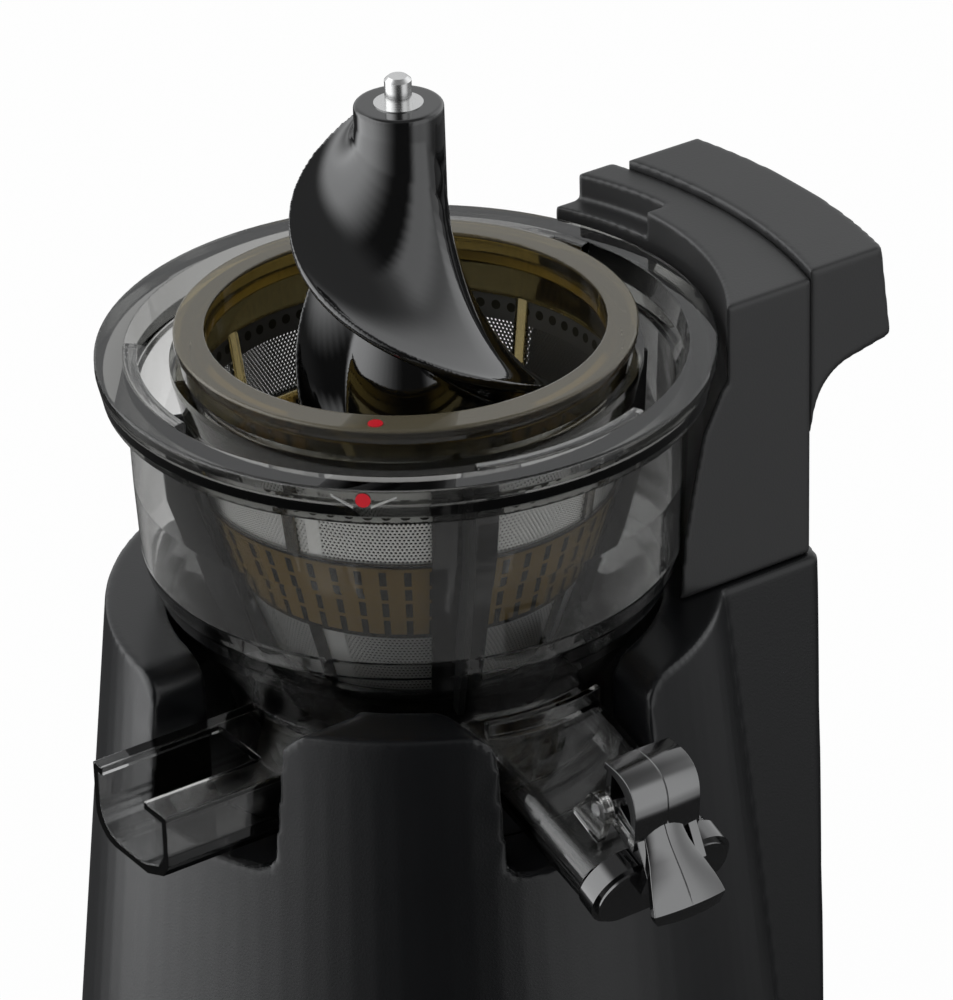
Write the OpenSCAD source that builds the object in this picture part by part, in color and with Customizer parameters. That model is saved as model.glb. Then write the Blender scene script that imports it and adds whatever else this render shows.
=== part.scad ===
// Cold press juicer, standing on its table.
// Origin: bowl axis at table level. +Z up, -Y towards the juice spout,
// -X towards the pulp trough, +X towards the tower.

/* [Casing] */
// Height of the casing's flat top above the table
casing_top = 218; // [214:1:226]
// Outer radius of the casing at its top
casing_r = 93; // [91:0.5:97]
// Growth of the casing's radius for each millimetre downwards
casing_flare = 0.1027; // [0.08:0.005:0.12]
// Wall thickness of the mouldings of the casing, tower and handle
shell_wall = 3; // [2.5:0.25:4]
// Height of the casing's lower edge above the table
casing_low = 4; // [2:0.5:5]
// Radius of the round recess that the bowl stands in
recess_r = 75; // [74:0.5:77]

/* [Tower] */
// Y of the tower's near end face
tower_near = -57.3; // [-62:0.5:-52]
// Y of the tower's far end face
tower_far = 43; // [38:0.5:48]
// Height of the tower's flat top
tower_top = 311; // [306:1:318]
// Distance from the bowl's rim to the tower's back
tower_back = 21.6; // [18:0.1:26]
// Radius of the tower's curved back
tower_arc = 169; // [150:1:190]
// How far the column below stands proud of the tower
column_step = 2.2; // [0.5:0.1:3]
// Width of the grip that overhangs behind the tower
grip_reach = 25.6; // [22:0.2:32]
// Height of the grip's top above the tower's top
grip_rise = 2.5; // [2:0.5:5]
// Height of the grip's outer wall
grip_drop = 29; // [24:1:34]
// Height of the lid ledge above the bowl's rim
ledge_rise = 2.4; // [1.5:0.1:4]

/* [Bowl] */
// Height of the bowl's rim above the table
rim_z = 300; // [298:1:304]
// Outer radius of the rim
rim_r = 92; // [91:0.5:93]
// Height of the rim band
rim_h = 12; // [9:0.5:14]
// Width of the rim's flat top
rim_w = 8.5; // [7:0.5:9.5]
// Outer radius of the bowl's wall below the rim
bowl_r = 82.5; // [81.5:0.25:82.75]
// Outer radius of the bowl's foot
bowl_foot_r = 57; // [55:0.5:60]
// Thickness of the bowl's wall
bowl_wall = 2.5; // [2:0.25:3]
// Thickness of the bowl's floor
bowl_floor_t = 3; // [2.5:0.25:4]
// Height of the bowl's foot rim under its floor
bowl_foot_h = 14.7; // [14:0.1:16]

/* [Chutes] */
// Length of the pulp trough from the bowl's axis
trough_reach = 116; // [105:1:125]
// Y of the trough's left wall
trough_left = -2.5; // [-6:0.5:0]
// Outer width of the trough
trough_w = 40; // [34:0.5:42]
// Outer height of the trough
trough_h = 24.5; // [22:0.5:27]
// Thickness of the walls of the chutes
chute_wall = 2.5; // [2:0.25:3]
// X of the middle of the juice spout
spout_x = -3.8; // [-6:0.1:-2]
// Outer width of the juice spout
spout_w = 44.8; // [42:0.1:47]
// Outer height of the juice spout
spout_h = 18; // [16:0.5:20]
// Distance of the spout's end from the bowl's axis
spout_reach = 122; // [116:1:128]
// Downward slope of the spout in degrees
spout_slope = 16; // [14:0.5:20]
// Tilt of the spout's end face in degrees
spout_tilt = 22; // [18:0.5:25]
// Height of the middle of the spout's end
spout_end_z = 181.7; // [179:0.1:184]

/* [Spout cap] */
// Width of the cap
cap_w = 48.4; // [46:0.1:52]
// Height of the cap
cap_h = 24; // [21.5:0.5:26]
// Depth of the cap
cap_t = 8; // [6:0.5:10]
// Outer radius of the lever's hood
hood_r = 15.3; // [14:0.1:17]
// Width of the lever's hood
hood_w = 23; // [18:0.5:24]
// Radius of the hinge pin
hinge_pin_r = 2; // [1.5:0.25:2.5]

/* [Strainer] */
// Outer radius of the strainer's flange
flange_r = 68.5; // [67:0.5:70]
// Inner radius of the strainer's mouth
mouth_r = 59.4; // [58:0.2:60]
// Height of the flange's top above the bowl's rim
flange_rise = 6.8; // [5:0.2:9]
// Thickness of the strainer's frame
frame_t = 2.4; // [2:0.2:3]
// Thickness of the mesh
mesh_t = 0.6; // [0.4:0.1:0.8]
// Number of upright ribs in the strainer's windows
rib_count = 8; // [6:1:12]

/* [Brush holder] */
// Thickness of the brush holder's wall
holder_t = 1.8; // [1.5:0.1:2.2]
// Number of posts, each with a wiper blade
post_count = 4; // [3:1:5]
// Angle that each post covers
post_angle = 17; // [12:1:24]

/* [Auger] */
// Radius of the auger's hub at its top
hub_r = 13.2; // [12:0.2:14]
// Height of the hub's top above the bowl's rim
hub_rise = 77.3; // [70:0.1:90]
// Radius of the steel top pin
pin_r = 4; // [3:0.5:5]
// Length of pin above the hub
pin_len = 8.5; // [6:0.5:10]
// Radius of the washer round the pin
washer_r = 7.3; // [6.5:0.1:8.5]
// Radius that the big flight reaches at its lower end
flight_r = 48; // [44:0.5:49]
// Radius of the auger's cone at its foot
cone_foot_r = 37; // [34:0.5:38]

/* [Drive] */
// Distance across the flats of the drive shaft
hex_flats = 12; // [10:0.5:13]
// Clearance of a running fit, on the radius
run_fit = 0.06; // [0.03:0.01:0.09]
// Module of all gears
gear_mod = 1.5; // [1.46:0.01:1.5]
// Teeth of the two pinions
pinion_teeth = 10; // [9:1:10]
// Teeth of the two reduction gears
gear_teeth = 50; // [48:1:50]
// Teeth of the auger's own gear
sun_teeth = 22; // [20:1:22]
// Teeth of the idler gear
idler_teeth = 14; // [12:2:14]
// Radius of the motor's can
motor_r = 42; // [38:0.5:45]
// Length of the motor's can
motor_len = 60; // [54:1:64]
// Radius of the motor's shaft
motor_shaft_r = 4.25; // [3.5:0.25:4.5]
// Radius of the drive shaft's journals
journal_r = 7.5; // [7:0.25:8]

/* [Base] */
// Height of the foot ring
foot_h = 6; // [5:0.5:8]
// Middle radius of the foot ring
foot_r = 94; // [88:1:98]
// Thickness of the base plate
plate_t = 3; // [2.5:0.25:4]
// Radius of the power cord's inlet
gland_r = 7; // [6:0.5:9]

/* [Hidden] */
$fn = 96;

eps = 0.01;
// Gap between pieces that move past each other
gap = 0.3;
big = 400;

// ---- casing heights and outline
// Radius of the casing's outer skin at height z
function casing_radius(z) = casing_r + casing_flare * (casing_top - z);
column_near = tower_near - column_step;
column_far = tower_far + column_step;
tower_mid = (tower_near + tower_far) / 2;
arc_x = rim_r + tower_back - tower_arc;
column_arc = tower_arc + column_step;
column_taper = 4.2;
column_root = 40;

// ---- chutes
notch_gap = 1.2;
notch_top_r = 9;
notch_low_r = 5;
trough_low = bowl_low() + 2.2;
trough_top = trough_low + trough_h;
trough_right = trough_left - trough_w;
pulp_notch_w = trough_w + 7;
pulp_notch_y = trough_left + notch_gap - pulp_notch_w / 2;
juice_notch_w = spout_w + 6.6;
juice_notch_x = spout_x - 1.2;
notch_low = trough_low - 2.2;
rail_w = 12;
rail_left = 5;
slot_start = 75.5;

// ---- bowl heights
deck_t = 4;
function bowl_low() = casing_top - 45.7;
deck_top = bowl_low() - gap;
bowl_floor = bowl_low() + bowl_foot_h + bowl_floor_t;
curve_top = rim_z - 63;
curve_low = bowl_low() + 17.7;

// ---- gears
press = 20;
gear_dist = gear_mod * (pinion_teeth + gear_teeth) / 2;
idler_dist = gear_mod * (sun_teeth + idler_teeth) / 2;
ring_teeth = sun_teeth + 2 * idler_teeth;
ring_pitch_r = gear_mod * ring_teeth / 2;
idler_angle = 40;
pinion_shift = 0.5;
backlash = 0.12;
gear_w = 10;
sun_w = 6;
sun_z = bowl_floor + 2.5;

// ---- drive stack, from the table upwards
plate_z = foot_h;
motor_z = plate_z + plate_t + 15;
gearbox_z = motor_z + motor_len;
housing_t = 4;
stage_gap = 3;
stage1_z = gearbox_z + housing_t + stage_gap;
mid_z = stage1_z + gear_w + stage_gap;
mid_t = 6;
stage2_z = mid_z + mid_t + stage_gap;
lid_z = stage2_z + gear_w + stage_gap;
lid_t = 8;
bearing_t = 5;
bearing_wall = 5;
housing_r = gear_dist + gear_mod * gear_teeth / 2 + 4;
hex_r = hex_flats / 2 / cos(30);
sleeve_r = hex_r + 1.2;
sleeve_top = sun_z + sun_w + 3;
shaft_top = sleeve_top + 22;
post_r = 4.5;
// Pulp duct through the bowl's floor
duct_r = 6;
duct_angle = 205;
duct_dist = 27;
post_angles = [120, 280];

// ---- strainer and brush holder: [radius, height] of the strainer's outside, top to bottom
mesh1_top = rim_z - 14;
mesh1_low = rim_z - 40;
mesh2_top = rim_z - 70;
mesh2_low = rim_z - 92;
strainer_low = sleeve_top + 3.2;
strainer_floor_t = 2.2;
wall_top_r = 65;
wall_mid_r = 61;
wall_low_r = 52.5;
wall_foot_r = 45;
holder_gap = 1.2;
holder_top = rim_z - 3;
ring_low = bowl_floor + gap;
ring_r = ring_pitch_r + 4.5;

// ---- auger
hub_top = rim_z + hub_rise;
auger_low = bowl_floor + 0.6;
skirt_r = sleeve_r + 1.6 + 0.5;
neck_r = gear_mod * (sun_teeth / 2 + 0.85) + 0.8;
pin_depth = 20;

// Points of a circular arc in the plane
function arc(c, r, a0, a1, n) = [for (i = [0:n]) c + r * [cos(a0 + (a1 - a0) * i / n), sin(a0 + (a1 - a0) * i / n)]];
// Points of a cubic curve with four control points
function cubic(p, n) = [for (i = [0:n]) let (t = i / n, s = 1 - t)
    s * s * s * p[0] + 3 * s * s * t * p[1] + 3 * s * t * t * p[2] + t * t * t * p[3]];

// ---- gear outlines
function inv(a) = tan(a) * 180 / PI - a;
// Half angle of a tooth at radius r
function half_angle(r, rb, psi) = r <= rb ? psi + inv(press) : psi + inv(press) - inv(acos(rb / r));
// Outline of a spur gear: z teeth, shift x, tooth thinned by b, tip and root heights in modules
function gear_points(z, x, b, tip, root) = let (
    rp = gear_mod * z / 2,
    rb = rp * cos(press),
    rt = rp + gear_mod * (tip + x),
    rr = rp - gear_mod * (root - x),
    psi = (90 + 2 * x * tan(press) * 180 / PI) / z - b / rp * 90 / PI,
    r0 = max(rb, rr + 0.01),
    radii = [rr, r0, (r0 + rt) / 2, rt],
    half = [for (r = radii) half_angle(r, rb, psi)])
    [for (i = [0:z - 1]) each concat(
        [for (k = [0:3]) let (a = i * 360 / z - half[k]) radii[k] * [cos(a), sin(a)]],
        [for (k = [3:-1:0]) let (a = i * 360 / z + half[k]) radii[k] * [cos(a), sin(a)]])];

// ---------------------------------------------------------------- casing

// Casing outline as a solid, moved inwards by d, from z0 to z1
module casing_solid(d, z0, z1) {
    translate([0, 0, z0]) cylinder(h = z1 - z0, r1 = casing_radius(z0) - d, r2 = casing_radius(z1) - d);
    intersection() {
        translate([column_root, column_near + d, z0]) cube([big, column_far - column_near - 2 * d, z1 - z0]);
        translate([arc_x, tower_mid, z0]) cylinder(h = z1 - z0,
            r1 = column_arc - d + column_taper * (casing_top - z0) / casing_top,
            r2 = column_arc - d + column_taper * (casing_top - z1) / casing_top, $fn = 192);
    }
}

// Notch outline, w wide at the middle, from its low edge at 0 up to h, moved outwards by d
module notch_outline(w, h, d) {
    rt = max(notch_top_r - d, 1);
    rl = notch_low_r + d;
    polygon(concat(
        arc([-w / 2 - d + rl, -d + rl], rl, 180, 270, 6),
        arc([w / 2 + d - rl, -d + rl], rl, 270, 360, 6),
        arc([w / 2 + d + rt, h - rt], rt, 180, 90, 6),
        [[w / 2 + d + rt, h + 20], [-w / 2 - d - rt, h + 20]],
        arc([-w / 2 - d - rt, h - rt], rt, 90, 0, 6)));
}

module pulp_notch(d) {
    translate([-recess_r + 20, pulp_notch_y, notch_low]) rotate([0, 0, -90]) rotate([90, 0, 0])
        translate([0, 0, 0]) linear_extrude(100) mirror([1, 0, 0])
            notch_outline(pulp_notch_w, casing_top - notch_low, d);
}

module juice_notch(d) {
    translate([juice_notch_x, -recess_r + 20, notch_low]) rotate([90, 0, 0]) linear_extrude(100)
        notch_outline(juice_notch_w, casing_top - notch_low, d);
}

module body_shell() {
    skin_low = deck_top - deck_t - shell_wall;
    rocker_cut = [rocker_l + 0.04, shell_wall * 2 + 2, rocker_h + 0.04];
    boss_low = plate_z + plate_t;
    color([0.16, 0.16, 0.17]) difference() {
        union() {
            difference() {
                casing_solid(0, casing_low, casing_top);
                difference() {
                    casing_solid(shell_wall, casing_low - eps, casing_top - shell_wall);
                    translate([0, 0, skin_low]) cylinder(h = big, r = recess_r + shell_wall);
                    pulp_notch(shell_wall);
                    juice_notch(shell_wall);
                }
            }
            for (a = boss_angles) rotate([0, 0, a]) translate([boss_dist, 0, boss_low]) cylinder(h = 24, r = 5);
        }
        translate([0, 0, deck_top - deck_t]) cylinder(h = big, r = recess_r);
        translate([0, 0, skin_low - 1]) cylinder(h = big, r = recess_r - 4);
        pulp_notch(0);
        juice_notch(0);
        at_rocker() cube(rocker_cut, center = true);
        translate([gland_x - 10, tower_mid, gland_z]) rotate([0, 90, 0]) cylinder(h = 40, r = gland_r);
        for (a = boss_angles) rotate([0, 0, a]) translate([boss_dist, 0, boss_low - 1]) cylinder(h = 16, r = screw_r);
    }
}

module dock_deck() {
    color([0.13, 0.13, 0.14]) difference() {
        translate([0, 0, deck_top - deck_t]) cylinder(h = deck_t, r = recess_r - 0.2);
        translate([0, 0, deck_top - deck_t - 1]) cylinder(h = deck_t + 2, r = seal_r);
    }
}

seal_r = 14;
module shaft_seal() {
    color([0.3, 0.3, 0.3]) translate([0, 0, deck_top - deck_t]) difference() {
        cylinder(h = deck_t - 0.5, r = seal_r);
        translate([0, 0, -1]) cylinder(h = deck_t + 2, r = journal_r + run_fit);
    }
}

// ---------------------------------------------------------------- tower and grip

// Space kept free for the bowl, turned about the bowl's axis and grown by d
module bowl_clearance(d) {
    points = [[0, casing_top - 2], [bowl_r - 1.9 + d, casing_top - 2], [bowl_r - 0.5 + d, rim_z - 62],
        [bowl_r + 1.5 + d, rim_z - 48], [bowl_r + 4.7 + d, rim_z - 29],
        [max(rim_r + 0.5, bowl_r + 1.5) + d, rim_z - rim_h - 4], [rim_r + 2.2 + d, rim_z - rim_h - 2.5], [rim_r + 2.2 + d, tower_top + 10], [0, tower_top + 10]];
    rotate_extrude() polygon(points);
}

// Tower outline as a solid, moved inwards by d
module tower_solid(d, z0, z1) {
    intersection() {
        translate([column_root, tower_near + d, z0]) cube([big, tower_far - tower_near - 2 * d, z1 - z0]);
        translate([arc_x, tower_mid, z0]) cylinder(h = z1 - z0, r = tower_arc - d, $fn = 192);
    }
}

ledge_y = 9;
// Step in the tower's top that the lid's hook reaches over, grown by d
module ledge_cut(d) {
    intersection() {
        translate([0, 0, rim_z + ledge_rise - d]) cylinder(h = big, r = rim_r + 10 + d);
        translate([0, ledge_y - d, 0]) cube(big);
    }
}

module tower_cover() {
    color([0.22, 0.22, 0.23]) difference() {
        tower_solid(0, casing_top, tower_top);
        difference() {
            tower_solid(shell_wall, casing_top - 1, tower_top - shell_wall);
            bowl_clearance(shell_wall);
            ledge_cut(shell_wall);
        }
        bowl_clearance(0);
        ledge_cut(0);
    }
}

// Grip outline turned about the tower's arc centre
module grip_profile() {
    r0 = tower_arc + 0.02;
    top = tower_top + grip_rise;
    low = top - grip_drop;
    polygon(concat([[r0, top], [r0 + grip_reach, top], [r0 + grip_reach + 3.4, low]],
        arc([r0 + grip_reach + 1.4, low], 2, 0, -90, 4),
        cubic([[r0 + 13, low - 5], [r0 + 4, low - 8], [r0 + 1, low - 16], [r0 + 0.6, low - 26]], 8),
        [[r0, low - 26]]));
}

module handle_shell() {
    y0 = tower_near;
    y1 = tower_far - 6;
    r_in = tower_arc + 3;
    top = tower_top + grip_rise;
    color([0.22, 0.22, 0.23]) difference() {
        intersection() {
            translate([arc_x, tower_mid, 0]) rotate_extrude($fn = 192) grip_profile();
            translate([column_root, y0, casing_top]) cube([big, y1 - y0, big]);
        }
        intersection() {
            translate([arc_x, tower_mid, top - grip_drop]) difference() {
                cylinder(h = grip_drop - shell_wall, r = tower_arc + grip_reach - shell_wall, $fn = 192);
                translate([0, 0, -1]) cylinder(h = big, r = r_in, $fn = 192);
            }
            translate([column_root, y0 + shell_wall, casing_top]) cube([big, y1 - y0 - 2 * shell_wall, big]);
        }
    }
}

// ---------------------------------------------------------------- base

module plate_outline(d) {
    circle(r = casing_radius(plate_z) - shell_wall - d);
    intersection() {
        translate([column_root, column_near + shell_wall + d])
            square([big, column_far - column_near - 2 * (shell_wall + d)]);
        translate([arc_x, tower_mid]) circle(r = column_arc - shell_wall - d + column_taper
            * (casing_top - plate_z) / casing_top, $fn = 192);
    }
}

boss_angles = [60, 120, 165, 240, 300];
boss_dist = casing_radius(casing_low + 30) - shell_wall - 3.5;
module base_plate() {
    vents = 12;
    color([0.12, 0.12, 0.12]) difference() {
        union() {
            translate([0, 0, plate_z]) linear_extrude(plate_t) plate_outline(0.3);
            for (a = [45:90:315]) rotate([0, 0, a]) translate([leg_dist, 0, plate_z + plate_t - eps])
                cylinder(h = 3, r = leg_r);
        }
        for (i = [0:vents - 1]) rotate([0, 0, i * 360 / vents])
            translate([24, -2, plate_z - 1]) cube([22, 4, plate_t + 2]);
        for (a = [45:90:315]) rotate([0, 0, a]) translate([leg_dist, 0, plate_z - 1])
            cylinder(h = plate_t + 6, r = screw_r + 0.05);
        for (a = boss_angles) rotate([0, 0, a]) translate([boss_dist, 0, plate_z - 1])
            cylinder(h = plate_t + 6, r = screw_r + 0.05);
    }
}

module foot_ring() {
    color([0.1, 0.1, 0.1]) difference() {
        cylinder(h = foot_h, r = foot_r + 5);
        translate([0, 0, -1]) cylinder(h = foot_h + 2, r = foot_r - 5);
    }
}

leg_dist = 68;
leg_r = 6;
screw_r = 2;
screw_head_r = 4;
// A pan head screw, its head's underside at z = 0, pointing up
module screw(length) {
    translate([0, 0, -2.4]) difference() {
        cylinder(h = 2.4, r = screw_head_r);
        translate([-0.6, -3, -1]) cube([1.2, 6, 2]);
        translate([-3, -0.6, -1]) cube([6, 1.2, 2]);
    }
    translate([0, 0, -eps]) cylinder(h = length, r = screw_r);
}

module base_screws() {
    color([0.7, 0.7, 0.7]) {
        for (a = [45:90:315]) rotate([0, 0, a]) translate([leg_dist, 0, plate_z]) screw(plate_t + 14);
        for (a = boss_angles) rotate([0, 0, a]) translate([boss_dist, 0, plate_z]) screw(plate_t + 12);
    }
}

gland_z = 24;
gland_x = arc_x + column_arc + column_taper * (casing_top - gland_z) / casing_top;
module cord_gland() {
    color([0.1, 0.1, 0.1]) translate([gland_x, tower_mid, gland_z]) rotate([0, 90, 0]) difference() {
        union() {
            translate([0, 0, -shell_wall - 3]) cylinder(h = shell_wall + 5, r = gland_r - 0.02);
            translate([0, 0, 0.4]) cylinder(h = 1.6, r = gland_r + 2.5);
            translate([0, 0, -shell_wall - 3]) cylinder(h = 1.6, r = gland_r + 2);
        }
        translate([0, 0, -20]) cylinder(h = 40, r = 3.6);
    }
}

// ---------------------------------------------------------------- motor and gearbox

module motor_can() {
    color([0.6, 0.6, 0.62]) translate([0, 0, motor_z]) difference() {
        cylinder(h = motor_len, r = motor_r);
        translate([0, 0, 3]) cylinder(h = motor_len - 6, r = motor_r - 2);
        translate([0, 0, -1]) cylinder(h = motor_len + 2, r = bearing_r);
        for (i = [0:7]) rotate([0, 0, i * 45]) translate([motor_r - 8, 0, -1]) cylinder(h = 6, r = 3);
    }
}

bearing_r = motor_shaft_r + bearing_wall;
stator_r = 24;
module motor_stator() {
    color([0.45, 0.3, 0.2]) translate([0, 0, motor_z + 12]) difference() {
        cylinder(h = motor_len - 24, r = motor_r - 2);
        translate([0, 0, -1]) cylinder(h = motor_len, r = stator_r);
    }
}

// A closed bearing: ring of wall bearing_wall round a shaft of radius r
module bearing(r) {
    difference() {
        cylinder(h = bearing_t, r = r + bearing_wall);
        translate([0, 0, -1]) cylinder(h = bearing_t + 2, r = r + run_fit);
        translate([0, 0, bearing_t - 0.4]) difference() {
            cylinder(h = 1, r = r + bearing_wall - 1.2);
            cylinder(h = 1, r = r + 1.2);
        }
    }
}

module motor_bearings() {
    color([0.75, 0.75, 0.78]) for (z = [motor_z, motor_z + motor_len - bearing_t])
        translate([0, 0, z]) bearing(motor_shaft_r);
}

rotor_gap = 0.5;
module motor_rotor() {
    color([0.5, 0.5, 0.5]) translate([0, 0, motor_z + 12]) difference() {
        cylinder(h = motor_len - 24, r = stator_r - rotor_gap);
        translate([0, 0, -1]) cylinder(h = motor_len, r = motor_shaft_r);
        for (i = [0:11]) rotate([0, 0, i * 30]) translate([stator_r - 5, 0, -1])
            cylinder(h = motor_len, r = 1.5);
        for (i = [0:5]) rotate([0, 0, i * 60]) translate([12.5, 0, -1]) cylinder(h = motor_len, r = 4);
    }
}

module motor_shaft() {
    color([0.8, 0.8, 0.8]) {
        translate([0, 0, motor_z - 12]) cylinder(h = stage1_z + 2 - motor_z + 12, r = motor_shaft_r);
        translate([0, 0, stage1_z]) linear_extrude(gear_w + 1) rotate(0)
            polygon(gear_points(pinion_teeth, pinion_shift, backlash, 0.95, 1.2));
    }
}

module cooling_fan() {
    fan_r = 34;
    color([0.2, 0.25, 0.3]) translate([0, 0, motor_z - 12]) difference() {
        union() {
            cylinder(h = 9, r = 9);
            cylinder(h = 1.5, r = fan_r);
            for (i = [0:8]) rotate([0, 0, i * 40]) translate([8, -0.8, 0]) cube([fan_r - 9, 1.6, 9]);
        }
        translate([0, 0, -1]) cylinder(h = 20, r = motor_shaft_r);
    }
}

module housing_outline(d) {
    circle(r = gear_dist + d);
    translate([gear_dist, 0]) circle(r = housing_r - gear_dist + d);
    translate([gear_dist / 2, 0]) circle(r = housing_r - gear_dist / 2 - 8 + d);
}

module gearbox_housing() {
    color([0.65, 0.65, 0.66]) difference() {
        union() {
            translate([0, 0, gearbox_z]) linear_extrude(lid_z - gearbox_z) housing_outline(housing_t);
            for (a = [45:90:315]) rotate([0, 0, a]) {
                translate([leg_dist, 0, plate_z + plate_t + 3]) cylinder(h = gearbox_z + housing_t - plate_z
                    - plate_t - 3, r = leg_r);
                translate([30, -leg_r, gearbox_z]) cube([leg_dist - 30, 2 * leg_r, housing_t]);
            }
        }
        translate([0, 0, gearbox_z + housing_t]) linear_extrude(big) housing_outline(-1.5);
        translate([0, 0, mid_z]) linear_extrude(big) housing_outline(0);
        for (p = lid_screws) translate([p[0], p[1], lid_z - 7]) cylinder(h = 20, r = 1.5);
        translate([0, 0, gearbox_z - 1]) cylinder(h = big, r = bearing_r + 2);
        translate([gear_dist, 0, gearbox_z - 1]) cylinder(h = big, r = counter_r);
        for (a = [45:90:315]) rotate([0, 0, a]) translate([leg_dist, 0, 0])
            cylinder(h = plate_z + plate_t + 14.5, r = screw_r);
    }
}

counter_r = 4;
module counter_pin() {
    color([0.8, 0.8, 0.8]) translate([gear_dist, 0, gearbox_z]) cylinder(h = lid_z + lid_t - 2 - gearbox_z,
        r = counter_r - 0.01);
}

module gearbox_mid_plate() {
    color([0.6, 0.6, 0.62]) difference() {
        translate([0, 0, mid_z]) linear_extrude(mid_t) housing_outline(-0.02);
        translate([0, 0, mid_z + mid_t - bearing_t]) cylinder(h = 20, r = journal_r + bearing_wall);
        translate([0, 0, mid_z - 1]) cylinder(h = 20, r = journal_r + 1);
        translate([gear_dist, 0, mid_z - 1]) cylinder(h = 20, r = gear_mod * pinion_teeth / 2 + 5);
    }
}

module gearbox_lid() {
    color([0.62, 0.62, 0.64]) difference() {
        union() {
            translate([0, 0, lid_z]) linear_extrude(4) housing_outline(housing_t);
            translate([0, 0, lid_z]) cylinder(h = lid_t, r = journal_r + bearing_wall + 4);
            translate([gear_dist, 0, lid_z]) cylinder(h = lid_t, r = 9);
        }
        translate([0, 0, lid_z + lid_t - bearing_t]) cylinder(h = 20, r = journal_r + bearing_wall);
        translate([0, 0, lid_z - 1]) cylinder(h = 20, r = journal_r + 1);
        translate([gear_dist, 0, lid_z - 1]) cylinder(h = lid_t - 1, r = counter_r);
        for (p = lid_screws) translate([p[0], p[1], lid_z - 1]) cylinder(h = 20, r = 1.55);
    }
}

lid_screw_r = gear_dist + housing_t / 2;
lid_screws = [for (a = [80:40:280]) [lid_screw_r * cos(a), lid_screw_r * sin(a)]];
module gearbox_screws() {
    color([0.7, 0.7, 0.7]) for (p = lid_screws) translate([p[0], p[1], lid_z]) {
        translate([0, 0, -6]) cylinder(h = 10 + eps, r = 1.5);
        translate([0, 0, 4]) difference() {
            cylinder(h = 2.2, r = 3);
            translate([-0.5, -2.2, 1.2]) cube([1, 4.4, 2]);
        }
    }
}

module drive_bearings() {
    color([0.75, 0.75, 0.78]) {
        translate([0, 0, mid_z + mid_t - bearing_t]) bearing(journal_r);
        translate([0, 0, lid_z + lid_t - bearing_t]) bearing(journal_r);
    }
}

module counter_gear() {
    mesh_turn = 180 / gear_teeth;
    color([0.85, 0.83, 0.75]) translate([gear_dist, 0, 0]) difference() {
        union() {
            translate([0, 0, stage1_z]) linear_extrude(gear_w) rotate(180 + mesh_turn)
                polygon(gear_points(gear_teeth, -pinion_shift, backlash, 0.95, 1.2));
            translate([0, 0, stage1_z]) cylinder(h = stage2_z + gear_w - stage1_z, r = counter_r + 1.6);
            translate([0, 0, stage2_z]) linear_extrude(gear_w) rotate(180)
                polygon(gear_points(pinion_teeth, pinion_shift, backlash, 0.95, 1.2));
        }
        translate([0, 0, stage1_z - 1]) cylinder(h = big, r = counter_r + run_fit - 0.01);
        for (i = [0:5]) rotate([0, 0, i * 60]) translate([22, 0, stage1_z - 1])
            cylinder(h = gear_w + 2, r = 7);
    }
}

module output_gear() {
    mesh_turn = 180 / gear_teeth;
    color([0.85, 0.83, 0.75]) translate([0, 0, stage2_z]) difference() {
        linear_extrude(gear_w) rotate(mesh_turn)
            polygon(gear_points(gear_teeth, -pinion_shift, backlash, 0.95, 1.2));
        translate([0, 0, -1]) cylinder(h = big, r = journal_r);
        for (i = [0:5]) rotate([0, 0, 30 + i * 60]) translate([22, 0, -1]) cylinder(h = gear_w + 2, r = 7);
    }
}

module drive_shaft() {
    color([0.82, 0.82, 0.82]) {
        translate([0, 0, mid_z + 1]) cylinder(h = deck_top + 1 - mid_z - 1, r = journal_r);
        translate([0, 0, deck_top + 1 - eps]) cylinder(h = shaft_top - deck_top - 1, r = hex_r, $fn = 6);
    }
}

// ---------------------------------------------------------------- electrics

module run_capacitor() {
    can_r = 15;
    color([0.85, 0.85, 0.8]) translate([-motor_r - 19 - can_r, 0, plate_z + plate_t]) {
        cylinder(h = 48, r = can_r);
        for (y = [-5, 5]) translate([-1, y - 3, 48 - eps]) cube([0.8, 6, 9]);
    }
}

module control_board() {
    board = [40, 1.6, 60];
    color([0.1, 0.4, 0.2]) translate([-board[0] / 2, motor_r + 34, plate_z + plate_t]) {
        cube(board);
        translate([6, -9, 12]) cube([16, 9.01, 14]);
        translate([26, -7, 34]) cube([8, 7.01, 18]);
        translate([8, -12, 40]) cube([12, 12.01, 12]);
    }
}

module lid_sensor() {
    size = [7, 10, 6];
    color([0.8, 0.1, 0.1]) translate([rim_r + 4.5, ledge_y + 8, rim_z + ledge_rise - shell_wall - size[2]])
        cube(size);
}

rocker_l = 28;
rocker_h = 20;
rocker_z = 120;
rocker_wall = 2;
rocker_pin_r = 1.5;
rocker_tilt = 6;
rocker_face = arc_x + column_arc + column_taper * (casing_top - rocker_z + rocker_h / 2 + 2.5) / casing_top;
// Frame on the column's back: y points outwards
module at_rocker() {
    translate([rocker_face, tower_mid, rocker_z]) rotate([0, 0, -90]) children();
}

module rocker_bezel() {
    color([0.08, 0.08, 0.08]) at_rocker() difference() {
        union() {
            translate([0, 0.77, 0]) cube([rocker_l + 5, 1.5, rocker_h + 5], center = true);
            translate([0, -6, 0]) cube([rocker_l, 13.5, rocker_h], center = true);
        }
        translate([0, -2, 0]) cube([rocker_l - 2 * rocker_wall, 20.1, rocker_h - 2 * rocker_wall], center = true);
        translate([0, -5, -rocker_h / 2 + 0.7]) cylinder(h = rocker_h - 1.4, r = rocker_pin_r + run_fit);
    }
}

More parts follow.
